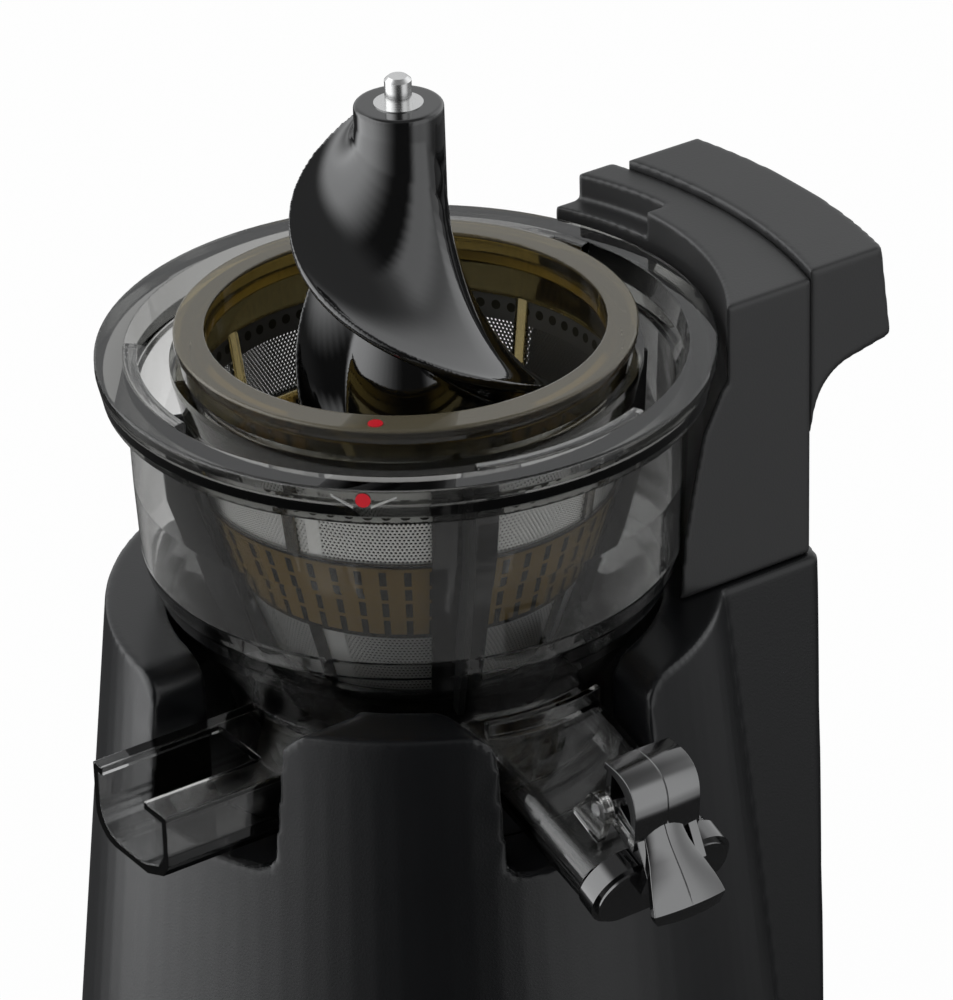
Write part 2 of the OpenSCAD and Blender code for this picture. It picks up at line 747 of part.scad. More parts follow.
module power_rocker() {
    w = rocker_h - 2 * rocker_wall - 2 * gap;
    half = rocker_l / 2 - rocker_wall - 1.6;
    color([0.12, 0.12, 0.13]) at_rocker() translate([0, -5, 0]) rotate([0, 0, -rocker_tilt]) {
        translate([0, 0, -w / 2]) linear_extrude(w) polygon(concat([[-half + 2, -5], [half - 2, -5], [half, 8.4]],
            arc([0, 24], 18.6, -57, -123, 10), [[-half, 8.4]]));
        translate([0, 0, -rocker_h / 2 + 1]) cylinder(h = rocker_h - 2, r = rocker_pin_r);
    }
}

// ---------------------------------------------------------------- bowl

// Outer profile of the bowl from its foot up to its rim, [radius, height]
function bowl_outside() = concat([[bowl_foot_r - 0.5, bowl_low()]],
    cubic([[bowl_foot_r, curve_low], [bowl_foot_r + 3, curve_low + 13], [bowl_r - 3, curve_top - 15],
        [bowl_r - 1.2, curve_top]], 8),
    [[bowl_r, rim_z - 40], [bowl_r + 1, rim_z - rim_h - 1], [rim_r - 2.4, rim_z - rim_h], [rim_r - 1.8, rim_z - rim_h + 1],
        [rim_r, rim_z - 3], [rim_r, rim_z - 0.5], [rim_r - 0.5, rim_z]]);
function bowl_inside() = concat([[rim_r - rim_w, rim_z], [rim_r - rim_w - 1.5, rim_z - 7],
        [bowl_r - bowl_wall - 0.6, rim_z - 12], [bowl_r - bowl_wall, rim_z - 40]],
    cubic([[bowl_r - 1.2 - bowl_wall, curve_top], [bowl_r - 3 - bowl_wall, curve_top - 15],
        [bowl_foot_r + 3 - bowl_wall, curve_low + 13], [bowl_foot_r - bowl_wall, curve_low]], 8),
    [[bowl_foot_r - 0.5 - bowl_wall, bowl_floor]]);

// Trough cross section in Y and Z, moved inwards by d
module trough_section(d) {
    w = trough_w - 2 * d;
    h = trough_h - 2 * d;
    polygon(concat([[0, h], [0, 10]], arc([10, 10], 10, 180, 270, 6), [[w - 12, 0], [w - 3, 3.5], [w, 8], [w, h]]));
}

// Along -X from x0 to x1
module trough_bar(d, x0, x1, rise) {
    translate([-x1, trough_left - d, trough_low + d]) rotate([0, 0, 90]) rotate([90, 0, 0])
        linear_extrude(x1 - x0) mirror([1, 0, 0]) {
            trough_section(d);
            if (rise > 0) translate([0, trough_h / 2]) square([trough_w - 2 * d, trough_h / 2 - d + rise]);
        }
}

spout_end = [spout_x, -spout_reach, spout_end_z];
// Frame at the spout's end: x across, y up the section, z outwards along a line falling by angle a
module at_spout(a = spout_tilt) {
    translate(spout_end) rotate([90 + a, 0, 0]) children();
}

module spout_section(d) {
    r = 5 - d / 2;
    rl = 8 - d / 2;
    w = spout_w / 2 - d;
    h = spout_h / 2 - d;
    polygon(concat(arc([w - r, h - r], r, 0, 90, 6), arc([-w + r, h - r], r, 90, 180, 6),
        arc([-w + rl, -h + rl], rl, 180, 270, 6), arc([w - rl, -h + rl], rl, 270, 360, 6)));
}

// Spout from depth l inside up to its end face, or past it by over, moved inwards by d
module spout_tube(d, l, over) {
    intersection() {
        at_spout(spout_slope) translate([0, 0, -l]) linear_extrude(l + 10) spout_section(d);
        at_spout() translate([-50, -60, -l - 40]) cube([100, 120, l + 40 + over]);
    }
}

hinge_up = spout_h / 2 + 9.25;
hinge_back = 11.8;
hood_x = 0.8;
cap_x = 1.2;
ear_t = 3;
module spout_ears() {
    for (s = [-1, 1]) at_spout() translate([hood_x + s * (hood_w / 2 + gap + ear_t / 2), 0, 0]) rotate([0, 90, 0])
        translate([0, 0, -ear_t / 2]) linear_extrude(ear_t) {
            translate([hinge_back, hinge_up]) circle(r = 5);
            polygon([[hinge_back - 5, hinge_up], [hinge_back + 5, hinge_up], [hinge_back + 9, spout_h / 2 - 1],
                [hinge_back - 4.5, spout_h / 2 - 1]]);
        }
}

module bowl_solid() {
    rotate_extrude() polygon(concat([[0, bowl_low()]], bowl_outside(), [[0, rim_z]]));
}

// Space inside the trough and the duct that feeds it from under the floor
module trough_space() {
    difference() {
        trough_bar(chute_wall, bowl_foot_r - 30, trough_reach + 1, 0);
        translate([0, 0, trough_low - 10]) cylinder(h = trough_h + 20, r1 = bowl_foot_r - 0.3, r2 = bowl_foot_r + 4.4);
    }
    intersection() {
        trough_bar(chute_wall, 16.5, bowl_foot_r + 3, 0);
        cylinder(h = bowl_floor - bowl_floor_t, r = bowl_foot_r + 20);
    }
}

module bowl() {
    slot_y = [trough_right + rail_w, trough_left - rail_left];
    pass_depth = spout_reach - bowl_foot_r + 6;
    lip_r = bowl_foot_r + 18;
    color([0.35, 0.35, 0.35, 0.4]) difference() {
        union() {
            difference() {
                union() {
                    difference() {
                        bowl_solid();
                        cylinder(h = bowl_floor - bowl_floor_t - 0.003, r = bowl_foot_r - bowl_wall - 0.5);
                    }
                    trough_bar(0, 14, trough_reach, 0);
                    spout_tube(0, pass_depth, 0);
                    intersection() {
                        translate([0, 0, 196]) difference() {
                            cylinder(h = 14.5, r = lip_r);
                            translate([0, 0, -1]) cylinder(h = 20, r = lip_r - 2.4);
                        }
                        translate([spout_x - spout_w / 2 + 3.7, -lip_r - 2, 0]) cube([spout_w - 6.1, 30, big]);
                    }
                }
                rotate_extrude() polygon(concat([[0, rim_z + 1], [rim_r - rim_w, rim_z + 1]], bowl_inside(),
                    [[0, bowl_floor]]));
                trough_space();
                translate([-trough_reach - 1, slot_y[0], trough_low + trough_h / 2])
                    cube([trough_reach + 1 - slot_start, slot_y[1] - slot_y[0], trough_h]);
                spout_tube(chute_wall, pass_depth + 8, 2);
            }
            spout_ears();
            translate([0, 0, bowl_low()]) cylinder(h = sleeve_top - bowl_low(), r = sleeve_r + 1.6);
            for (a = post_angles) rotate([0, 0, a]) translate([idler_dist, 0, bowl_floor - 1])
                cylinder(h = strainer_low - gap - bowl_floor + 1, r = post_r);
            rotate([0, 0, duct_angle]) translate([duct_dist, 0, bowl_floor - 1])
                cylinder(h = strainer_low - gap - bowl_floor + 1, r = duct_r + 2);
            rotate([0, 0, idler_angle]) translate([idler_dist, 0, bowl_floor - bowl_floor_t - 5])
                cylinder(h = 6, r = 5);
        }
        translate([0, 0, bowl_low() - 1]) cylinder(h = big, r = sleeve_r);
        rotate([0, 0, idler_angle]) translate([idler_dist, 0, bowl_floor - 6]) cylinder(h = 10, r = idler_pin_r);
        rotate([0, 0, duct_angle]) translate([duct_dist, 0, bowl_low() - 1]) cylinder(h = big, r = duct_r);
        at_spout() translate([-2 * hood_w, hinge_up, -hinge_back]) rotate([0, 90, 0]) cylinder(h = 4 * hood_w,
            r = hinge_pin_r);
        rotate([0, 0, mark_angle]) translate([rim_r - mark_t, 0, rim_z - 3]) rotate([0, 90, 0])
            cylinder(h = 5, r = mark_r);
        translate([0, 0, bowl_low() - 1]) cylinder(h = 1.8, r = seal_ring_r - 1.4);
    }
}

mark_angle = 228.2;
mark_r = 2.2;
mark_t = 0.6;
module bowl_mark() {
    color([0.8, 0.05, 0.08]) rotate([0, 0, mark_angle]) translate([rim_r - mark_t, 0, rim_z - 3])
        rotate([0, 90, 0]) cylinder(h = mark_t + 0.3, r = mark_r - 0.02);
}

seal_ring_r = sleeve_r + 3;
module bowl_seal() {
    color([0.6, 0.6, 0.6]) translate([0, 0, bowl_low()]) difference() {
        cylinder(h = 0.8, r = seal_ring_r - 1.42);
        translate([0, 0, -1]) cylinder(h = 3, r = sleeve_r);
    }
}

// Silicone bung in the bottom of the pulp duct, pulled out for cleaning
module pulp_plug() {
    low = trough_low - 1.2;
    color([0.5, 0.5, 0.5]) rotate([0, 0, duct_angle]) translate([duct_dist, 0, low]) difference() {
        union() {
            cylinder(h = 1.2, r = duct_r + 1.5);
            cylinder(h = 1.2 + chute_wall, r = duct_r - 0.02);
        }
        translate([0, 0, -1]) cylinder(h = 2.6, r = 4);
    }
}

idler_pin_r = 2.5;
module idler_pin() {
    color([0.8, 0.8, 0.8]) rotate([0, 0, idler_angle]) translate([idler_dist, 0, bowl_floor - 6])
        cylinder(h = sun_z + sun_w + 1 - bowl_floor + 6, r = idler_pin_r - 0.01);
}

module idler_gear() {
    turn = 180 + 180 / idler_teeth;
    color([0.9, 0.9, 0.85]) rotate([0, 0, idler_angle]) translate([idler_dist, 0, sun_z]) difference() {
        linear_extrude(sun_w) rotate(turn) polygon(gear_points(idler_teeth, 0, backlash, 0.85, 1.15));
        translate([0, 0, -1]) cylinder(h = 20, r = idler_pin_r + run_fit);
    }
}

module hinge_pin() {
    half = hood_w / 2 + gap + ear_t;
    color([0.8, 0.8, 0.8]) at_spout() translate([hood_x - half, hinge_up, -hinge_back]) rotate([0, 90, 0])
        cylinder(h = 2 * half, r = hinge_pin_r - 0.01);
}

// ---------------------------------------------------------------- spout cap

module cap_outline(d) {
    r = cap_h / 2 - d;
    l = cap_w / 2 - cap_h / 2;
    translate([-l, -r]) square([2 * l, 2 * r]);
    translate([-l, 0]) circle(r = r);
    translate([l, 0]) circle(r = r);
}

seal_t = 1.5;
module spout_cap() {
    bevel = 1.5;
    color([0.06, 0.06, 0.06]) at_spout() translate([cap_x, 0, gap]) difference() {
        union() {
            linear_extrude(cap_t - bevel) cap_outline(0);
            translate([0, 0, cap_t - bevel - eps]) linear_extrude(bevel) cap_outline(bevel);
        }
        translate([0, 0, -1]) linear_extrude(1 + seal_t) cap_outline(1.2);
    }
}

module cap_seal() {
    color([0.45, 0.45, 0.45]) at_spout() translate([cap_x, 0, gap]) linear_extrude(seal_t) cap_outline(1.25);
}

// Lever side view: x along the spout, y up the section, hinge at the origin
hood_from = -13;
hood_to = 112;
module lever_side() {
    hub = hinge_pin_r + 2.5;
    inner = hood_r - 3;
    circle(r = hub);
    polygon(concat(arc([0, 0], hood_r, hood_from, hood_to, 16), arc([0, 0], inner, hood_to, hood_from, 16)));
    for (a = [hood_from + 10, 55, hood_to - 8]) rotate(a) translate([0, -1.2]) square([inner + 1, 2.4]);
}

// Side plates that reach from the hub over the cap's edge to its front
module arm_side() {
    front = hinge_back + gap + cap_t + 0.02;
    top = cap_h / 2 - hinge_up;
    polygon([[-2, 4], [4, 4.2], [hood_r - 2, 2], [front + 3.4, top - 1], [front + 3, top - 9], [front, top - 9],
        [front, top + 0.5], [front - 7, top + 0.5], [2, -4.2], [-3, -3]]);
}

// Petal in front of the cap, seen from the side
function petal_path() = cubic([[hood_r - 1.2, 4], [hood_r + 3.2, 0], [hood_r + 13.7, -6.5], [hood_r + 20.8, -14.5]], 8);
module petal_side() {
    p = petal_path();
    polygon(concat(p, [for (i = [8:-1:0]) p[i] + [-1.8, -2.4]]));
}

module lever_frame() {
    at_spout() translate([hood_x, hinge_up, -hinge_back]) rotate([0, -90, 0]) children();
}

module cap_lever() {
    neck = 6.7;
    wide = 12.5;
    outline = [[neck, 6], [neck, 1.5], [neck + 1.5, -2.5], [neck + 3.9, -6], [wide, -11], [wide - 0.2, -12.8],
        [wide - 2.7, -17.5]];
    color([0.06, 0.06, 0.06]) difference() {
        union() {
            lever_frame() translate([0, 0, -hood_w / 2]) linear_extrude(hood_w) lever_side();
            for (s = [-1, 1]) lever_frame() translate([0, 0, s * (hood_w / 2 - 2.5) - 1.5]) linear_extrude(3) arm_side();
            intersection() {
                lever_frame() translate([0, 0, -2 * wide]) linear_extrude(4 * wide) petal_side();
                at_spout() translate([-0.4, hinge_up, -20]) linear_extrude(80)
                    polygon(concat(outline, [for (i = [len(outline) - 1:-1:0]) [-outline[i][0], outline[i][1]]]));
            }
        }
        lever_frame() translate([0, 0, -hood_w]) cylinder(h = 2 * hood_w, r = hinge_pin_r + run_fit);
    }
}

// ---------------------------------------------------------------- strainer

function wall_outside() = [[wall_top_r + 0.6, rim_z], [wall_top_r, mesh1_top], [wall_mid_r, mesh1_low],
    [wall_low_r, mesh2_top], [wall_foot_r, mesh2_low], [wall_foot_r - 1, strainer_low]];
function shifted(points, d) = [for (p = points) [p[0] - d, p[1]]];
function reversed(v) = [for (i = [len(v) - 1:-1:0]) v[i]];
// Radius of the strainer's outside at height z, between two of its corners
function between(a, b, z) = a[0] + (b[0] - a[0]) * (z - a[1]) / (b[1] - a[1]);

module window_ring(a, b) {
    rotate_extrude() polygon([[a[0] - 8, a[1]], [a[0] + 3, a[1]], [b[0] + 3, b[1]], [b[0] - 8, b[1]]]);
}

module rib_set(low, high) {
    for (i = [0:rib_count - 1]) rotate([0, 0, 22.5 + i * 360 / rib_count])
        translate([30, -2, low]) cube([50, 4, high - low]);
}

module mesh_band(a, b) {
    difference() {
        rotate_extrude() polygon([[a[0] - 1, a[1]], [b[0] - 1, b[1]], [b[0] - 1 - mesh_t, b[1]],
            [a[0] - 1 - mesh_t, a[1]]]);
        rib_set(b[1] - 1, a[1] + 1);
    }
}

module strainer_frame() {
    w = wall_outside();
    top = rim_z + flange_rise;
    color([0.42, 0.36, 0.12, 0.85]) difference() {
        union() {
            rotate_extrude() polygon(concat([[mouth_r, top], [flange_r - 0.5, top], [flange_r, top - 0.5],
                [flange_r, top - 3], [wall_top_r + 1, top - 3.5]], w,
                reversed(shifted(w, frame_t)), [[mouth_r, rim_z - 2]]));
            translate([0, 0, strainer_low]) cylinder(h = strainer_floor_t, r = wall_foot_r - 1 - eps);
        }
        difference() {
            window_ring(w[1], w[2]);
            rib_set(w[2][1] - 1, w[1][1] + 1);
        }
        difference() {
            window_ring(w[3], w[4]);
            rib_set(w[4][1] - 1, w[3][1] + 1);
        }
        translate([0, 0, strainer_low - 1]) cylinder(h = 10, r = neck_r + 0.5);
        rotate([0, 0, mark_angle]) translate([flange_r - 4, 0, top - 0.6]) cylinder(h = 3, r = mark_r);
        rotate([0, 0, duct_angle]) translate([duct_dist, 0, strainer_low - 1]) cylinder(h = 10, r = duct_r);
    }
}

module upper_mesh() {
    w = wall_outside();
    color([0.7, 0.7, 0.72]) mesh_band(w[1], w[2]);
}

module lower_mesh() {
    w = wall_outside();
    color([0.7, 0.7, 0.72]) mesh_band(w[3], w[4]);
}

module strainer_mark() {
    color([0.8, 0.05, 0.08]) rotate([0, 0, mark_angle]) translate([flange_r - 4, 0, rim_z + flange_rise - 0.6])
        cylinder(h = 0.8, r = mark_r - 0.02);
}

// ---------------------------------------------------------------- brush holder

function holder_inside() = [[wall_top_r + holder_gap + 0.6, holder_top], [wall_top_r + holder_gap, mesh1_top],
    [wall_mid_r + holder_gap, mesh1_low], [wall_low_r + holder_gap, mesh2_top],
    [wall_foot_r + holder_gap + 0.6, mesh2_low - 4], [wall_foot_r + holder_gap, sun_z + sun_w + 4]];

module brush_holder() {
    h = holder_inside();
    win_top = holder_top - 12;
    win_low = mesh2_low + 2;
    color([0.1, 0.1, 0.1]) difference() {
        union() {
            rotate_extrude() polygon(concat([[h[0][0] + 3.2, holder_top], [h[0][0] + 3.2, holder_top - 2.4]],
                shifted([for (i = [1:5]) h[i]], -holder_t), [[ring_r, ring_low + 8], [ring_r, ring_low],
                [ring_pitch_r - 3, ring_low], [ring_pitch_r - 3, ring_low + 8.6]], reversed(h)));
        }
        translate([0, 0, ring_low - 1]) linear_extrude(sun_z + sun_w + 1.6 - ring_low)
            rotate(idler_angle + ring_turn)
                polygon(gear_points(ring_teeth, 0, -backlash, 1.2, 0.85));
        translate([0, 0, ring_low - 1]) cylinder(h = 12, r = ring_pitch_r - 1.2 * gear_mod);
        for (i = [0:post_count - 1]) rotate([0, 0, 250 + post_angle / 2 + i * 360 / post_count])
            window_wedge(360 / post_count - post_angle, win_low, win_top);
    }
}

ring_turn = 180 / ring_teeth;
// Wedge of angle a between two heights, starting at the X axis
module window_wedge(a, low, high) {
    translate([0, 0, low]) linear_extrude(high - low)
        polygon(concat([[0, 0]], [for (i = [0:4]) 110 * [cos(a * i / 4), sin(a * i / 4)]]));
}

module wiper_blades() {
    h = holder_inside();
    reach = bowl_r - bowl_wall - 2;
    d = holder_t + 0.05;
    color([0.5, 0.5, 0.5]) for (i = [0:post_count - 1]) rotate([0, 0, 250 + i * 360 / post_count])
        rotate([90, 0, 0]) translate([0, 0, -1]) linear_extrude(2)
            polygon([[h[1][0] + d, h[1][1]], [min(h[1][0] + d + 5.5, reach), h[1][1]],
                [min(h[2][0] + d + 8, reach), h[2][1]], [h[3][0] + d + 8, h[3][1]], [h[4][0] + d + 5, h[4][1]], [h[4][0] + d, h[4][1]], [h[3][0] + d, h[3][1]],
                [h[2][0] + d, h[2][1]]]);
}

// ---------------------------------------------------------------- auger

// Outside of the auger's core, [radius, height], from its top down to its skirt
function core_points() = concat([[0, hub_top], [hub_r - 0.8, hub_top], [hub_r, hub_top - 0.8],
        [hub_r + 0.3, rim_z + 34]],
    cubic([[hub_r + 0.3, rim_z + 30], [hub_r + 1, rim_z + 12], [25, rim_z], [28, rim_z - 16]], 6),
    [[33, rim_z - 45], [cone_foot_r, rim_z - 78], [cone_foot_r, strainer_low + strainer_floor_t + 1.5],
        [neck_r, strainer_low + strainer_floor_t + 1.5], [neck_r, sun_z + sun_w + 1.5],
        [skirt_r + 2, sun_z + sun_w - 1], [skirt_r + 2, auger_low], [0, auger_low]]);

// Big flight: azimuth runs from flight_start over flight_turn, falling all the way
flight_start = 110;
flight_turn = 240;
flight_edge = 4;
// Radius of the flight's outer edge at t, 0 to 1 along its turn
function edge_r(t) = hub_r + 2 + (flight_r - hub_r - 2.4) * (1 - pow(max(0, 1 - t / 0.62), 1.9));
// Height of the flight's outer edge
function edge_z(t) = hub_top - 6.7 - 95.8 * t;
// Rise of the upper face from the edge (u = 0) to the hub (u = 1)
function face_rise(u) = 1 - pow(1 - pow(u, 1.85), 1 / 1.85);
// One cross section of the flight in radius and height
function flight_section(t) = let (
    re = edge_r(t), ze = edge_z(t),
    top = min(66, hub_top - 4.8 - ze),
    ri = hub_r - 4, under = 3 + 11 * min(1, t * 4))
    [[ri, ze + top], for (u = [0.985, 0.95, 0.88, 0.75, 0.55, 0.35, 0.15]) [re - u * (re - hub_r), ze + top * face_rise(u)],
        [re, ze], [re, ze - flight_edge], [(re + hub_r) / 2, ze - flight_edge - under / 3], [ri, ze - flight_edge - under]];
flight_steps = 34;
module flight_solid() {
    n = len(flight_section(0));
    points = [for (i = [0:flight_steps]) let (t = i / flight_steps, a = flight_start + flight_turn * t)
        for (p = flight_section(t)) [p[0] * cos(a), p[0] * sin(a), p[1]]];
    cap = [[11, 0, 1], [11, 1, 2], [11, 2, 3], [11, 3, 4], [10, 11, 4], [10, 4, 5], [10, 5, 6], [9, 10, 6], [9, 6, 7],
        [9, 7, 8]];
    last = flight_steps * n;
    faces = concat(cap, [for (f = cap) [f[2] + last, f[1] + last, f[0] + last]],
        [for (i = [0:flight_steps - 1]) for (k = [0:n - 1]) for (f = [
            [i * n + k, (i + 1) * n + (k + 1) % n, i * n + (k + 1) % n],
            [i * n + k, (i + 1) * n + k, (i + 1) * n + (k + 1) % n]]) f]);
    polyhedron(points, faces, convexity = 8);
}

module auger_body() {
    color([0.07, 0.07, 0.07]) difference() {
        union() {
            rotate_extrude() polygon(core_points());
            flight_solid();
            translate([0, 0, sun_z]) linear_extrude(sun_w) rotate(idler_angle)
                polygon(gear_points(sun_teeth, 0, backlash, 0.85, 1.15));
        }
        translate([0, 0, auger_low - 1]) cylinder(h = sleeve_top + 1.5 - auger_low + 1, r = skirt_r);
        translate([0, 0, auger_low]) cylinder(h = shaft_top + 2 - auger_low, r = hex_r + 0.15, $fn = 6);
        translate([0, 0, hub_top - pin_depth]) cylinder(h = pin_depth + 1, r = pin_r + 1);
        translate([0, 0, hub_top - 0.8]) cylinder(h = 3, r = washer_r + 0.4);
    }
}

module auger_pin() {
    tip = 1.2;
    color([0.85, 0.85, 0.85]) translate([0, 0, hub_top - pin_depth]) {
        cylinder(h = pin_depth + 0.3, r = pin_r + 0.99);
        translate([0, 0, pin_depth]) cylinder(h = pin_len - tip, r = pin_r - 0.01);
        translate([0, 0, pin_depth + pin_len - tip - eps]) cylinder(h = tip, r1 = pin_r - 0.01, r2 = pin_r - tip);
    }
}

module auger_washer() {
    color([0.8, 0.8, 0.8]) translate([0, 0, hub_top - 0.8]) difference() {
        cylinder(h = 1.1, r = washer_r);
        translate([0, 0, -1]) cylinder(h = 4, r = pin_r + 1);
    }
}

body_shell();
tower_cover();
handle_shell();
dock_deck();
shaft_seal();
base_plate();
foot_ring();
base_screws();
cord_gland();
motor_can();
motor_stator();
motor_bearings();
gearbox_housing();
gearbox_mid_plate();
gearbox_lid();
gearbox_screws();
counter_pin();
drive_bearings();
run_capacitor();
control_board();
lid_sensor();
rocker_bezel();
power_rocker();
motor_rotor();
motor_shaft();
cooling_fan();
counter_gear();
output_gear();
drive_shaft();
bowl();
bowl_mark();
bowl_seal();
pulp_plug();
idler_pin();
hinge_pin();
idler_gear();
spout_cap();
cap_seal();
cap_lever();
strainer_frame();
upper_mesh();
lower_mesh();
strainer_mark();
brush_holder();
wiper_blades();
auger_body();
auger_pin();
auger_washer();
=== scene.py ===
import bpy
import bmesh
import math
from functools import partial
from mathutils import Matrix, Vector


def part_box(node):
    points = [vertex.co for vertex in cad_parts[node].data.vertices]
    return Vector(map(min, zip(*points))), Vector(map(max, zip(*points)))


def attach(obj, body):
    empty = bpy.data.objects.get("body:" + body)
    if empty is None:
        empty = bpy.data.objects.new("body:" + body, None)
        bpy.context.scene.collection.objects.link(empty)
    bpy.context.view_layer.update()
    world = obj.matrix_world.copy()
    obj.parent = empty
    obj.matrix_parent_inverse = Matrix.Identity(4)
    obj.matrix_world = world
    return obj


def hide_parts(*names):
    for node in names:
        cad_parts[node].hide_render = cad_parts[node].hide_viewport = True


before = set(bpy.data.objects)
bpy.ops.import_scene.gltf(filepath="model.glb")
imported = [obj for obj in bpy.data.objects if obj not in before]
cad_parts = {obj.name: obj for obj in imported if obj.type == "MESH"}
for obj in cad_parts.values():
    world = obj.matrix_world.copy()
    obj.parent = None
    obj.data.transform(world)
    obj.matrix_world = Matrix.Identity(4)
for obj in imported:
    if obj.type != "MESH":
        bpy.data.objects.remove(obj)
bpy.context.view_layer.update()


# ---- casing
# One satin black moulding that holds the motor and carries the bowl, with notches for the trough
# and the spout and a flat column at the back. Its edges are softly rounded by the mould.
# Remeshes an object on an even grid, rounds its edges and thins its faces:
def rounded(obj, grid, passes, keep):
    remesh = obj.modifiers.new("even grid", "REMESH")
    remesh.mode = "VOXEL"
    remesh.voxel_size = grid
    soften = obj.modifiers.new("rounded edges", "SMOOTH")
    soften.factor = 0.5
    soften.iterations = passes
    thin = obj.modifiers.new("fewer faces", "DECIMATE")
    thin.ratio = keep
    graph = bpy.context.evaluated_depsgraph_get()
    mesh = bpy.data.meshes.new_from_object(obj.evaluated_get(graph))
    obj.modifiers.clear()
    obj.data = mesh
    for face in mesh.polygons:
        face.use_smooth = True


# A piece with rounded edges that stands where its plain solid is
def rounded_shell(name, node, body, grid, passes, keep):
    shape = bpy.data.objects.new(name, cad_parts[node].data.copy())
    bpy.context.collection.objects.link(shape)
    shape.data.materials.clear()
    rounded(shape, grid, passes, keep)
    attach(shape, body)
    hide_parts(node)
    return shape


def new_material(name):
    mat = bpy.data.materials.new(name)
    mat.use_nodes = True
    return mat, mat.node_tree, mat.node_tree.nodes["Principled BSDF"]


# Gives a socket a value, or joins another socket to it
def feed(tree, socket, value):
    if isinstance(value, bpy.types.NodeSocket):
        tree.links.new(value, socket)
    else:
        socket.default_value = value


# The place on the piece, in metres
def object_place(tree):
    return tree.nodes.new("ShaderNodeTexCoord").outputs["Object"]


def noise(tree, where, scale, detail=2.0):
    node = tree.nodes.new("ShaderNodeTexNoise")
    node.inputs["Scale"].default_value = scale
    node.inputs["Detail"].default_value = detail
    tree.links.new(where, node.inputs["Vector"])
    return node.outputs["Fac"]


def mixed(tree, share, first, second):
    node = tree.nodes.new("ShaderNodeMixRGB")
    feed(tree, node.inputs["Fac"], share)
    feed(tree, node.inputs["Color1"], first)
    feed(tree, node.inputs["Color2"], second)
    return node.outputs["Color"]


# Carries a value from one range to another
def ranged(tree, value, to_low, to_high, from_low=0.0, from_high=1.0, kind="LINEAR"):
    node = tree.nodes.new("ShaderNodeMapRange")
    node.interpolation_type = kind
    node.inputs["From Min"].default_value = from_low
    node.inputs["From Max"].default_value = from_high
    node.inputs["To Min"].default_value = to_low
    node.inputs["To Max"].default_value = to_high
    feed(tree, node.inputs["Value"], value)
    return node.outputs["Result"]


# Bends the surface's shading by a height
def add_bump(tree, shader, height, strength, distance, invert=False):
    bump = tree.nodes.new("ShaderNodeBump")
    bump.invert = invert
    bump.inputs["Strength"].default_value = strength
    bump.inputs["Distance"].default_value = distance
    tree.links.new(height, bump.inputs["Height"])
    tree.links.new(bump.outputs["Normal"], shader.inputs["Normal"])


# Moulded plastic: two close tones in soft clouds, a roughness that drifts a little, and a fine
# grain. A grain of 0 leaves it polished.
def moulded(name, colour, rough, grain, grain_size, ior):
    tone_drift = 0.12
    rough_drift = 0.08
    cloud_scale = 38.0
    grain_depth = 0.0003
    mat, tree, shader = new_material(name)
    shader.inputs["IOR"].default_value = ior
    where = object_place(tree)
    clouds = noise(tree, where, cloud_scale, 5.0)
    darker = (*[c * (1 - tone_drift) for c in colour], 1)
    lighter = (*[c * (1 + tone_drift) for c in colour], 1)
    feed(tree, shader.inputs["Base Color"], mixed(tree, clouds, darker, lighter))
    dullness = ranged(tree, clouds, rough * (1 - rough_drift), min(1, rough * (1 + rough_drift)))
    feed(tree, shader.inputs["Roughness"], dullness)
    if grain > 0:
        add_bump(tree, shader, noise(tree, where, grain_size), grain, grain_depth)
    return mat


def wear(obj, mat):
    obj.data.materials.clear()
    obj.data.materials.append(mat)


satin_black = moulded("satin black moulding", (0.0045, 0.0048, 0.0056), 0.3, 0.1, 1500, 1.42)
casing = rounded_shell("casing", "body_shell", "base", 0.0012, 3, 0.35)
wear(casing, satin_black)
wear(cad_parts["dock_deck"], satin_black)

# ---- tower and grip
# Two screwed shells on the back of the casing, in a slightly greyer satin plastic: the tower that
# the lid latches to, and the grip that overhangs the column.
satin_grey = moulded("satin charcoal moulding", (0.019, 0.019, 0.0194), 0.42, 0.12, 1500, 1.5)
tower = rounded_shell("tower", "tower_cover", "base", 0.0009, 3, 0.4)
wear(tower, satin_grey)
grip = rounded_shell("grip", "handle_shell", "base", 0.0009, 4, 0.4)
wear(grip, satin_grey)


# ---- bowl
# One clear moulding in smoke-grey plastic, polished all over, with the trough and the spout in it.
# The colour is in the plastic, so thick places and edge-on walls are darker.
def clear_plastic(name, rough, ior, colour, density, body=0.0, body_tone=(1, 1, 1)):
    cloud_scale = 60.0
    edge_radius_seen = 0.0007
    mat, tree, shader = new_material(name)
    shader.inputs["Transmission Weight"].default_value = 1.0 - body
    shader.inputs["IOR"].default_value = ior
    clouds = noise(tree, object_place(tree), cloud_scale, 3.0)
    feed(tree, shader.inputs["Roughness"], ranged(tree, clouds, rough * 0.5, rough * 1.5))
    duller = (*[c * 0.94 for c in body_tone], 1)
    feed(tree, shader.inputs["Base Color"], mixed(tree, clouds, duller, (*body_tone, 1)))
    edges = tree.nodes.new("ShaderNodeBevel")
    edges.samples = 4
    edges.inputs["Radius"].default_value = edge_radius_seen
    feed(tree, shader.inputs["Normal"], edges.outputs["Normal"])
    depth = tree.nodes.new("ShaderNodeVolumeAbsorption")
    depth.inputs["Color"].default_value = (*colour, 1)
    depth.inputs["Density"].default_value = density
    feed(tree, tree.nodes["Material Output"].inputs["Volume"], depth.outputs["Volume"])
    return mat


smoke = clear_plastic("smoke grey clear plastic", 0.012, 1.49, (0.5, 0.5, 0.49), 215)
wear(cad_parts["bowl"], smoke)


# The points of a cross section in radius and height, turned round the machine's axis
def ring_at(mesh, outline, turn):
    return [mesh.verts.new((r * math.cos(turn), r * math.sin(turn), z)) for r, z in outline]


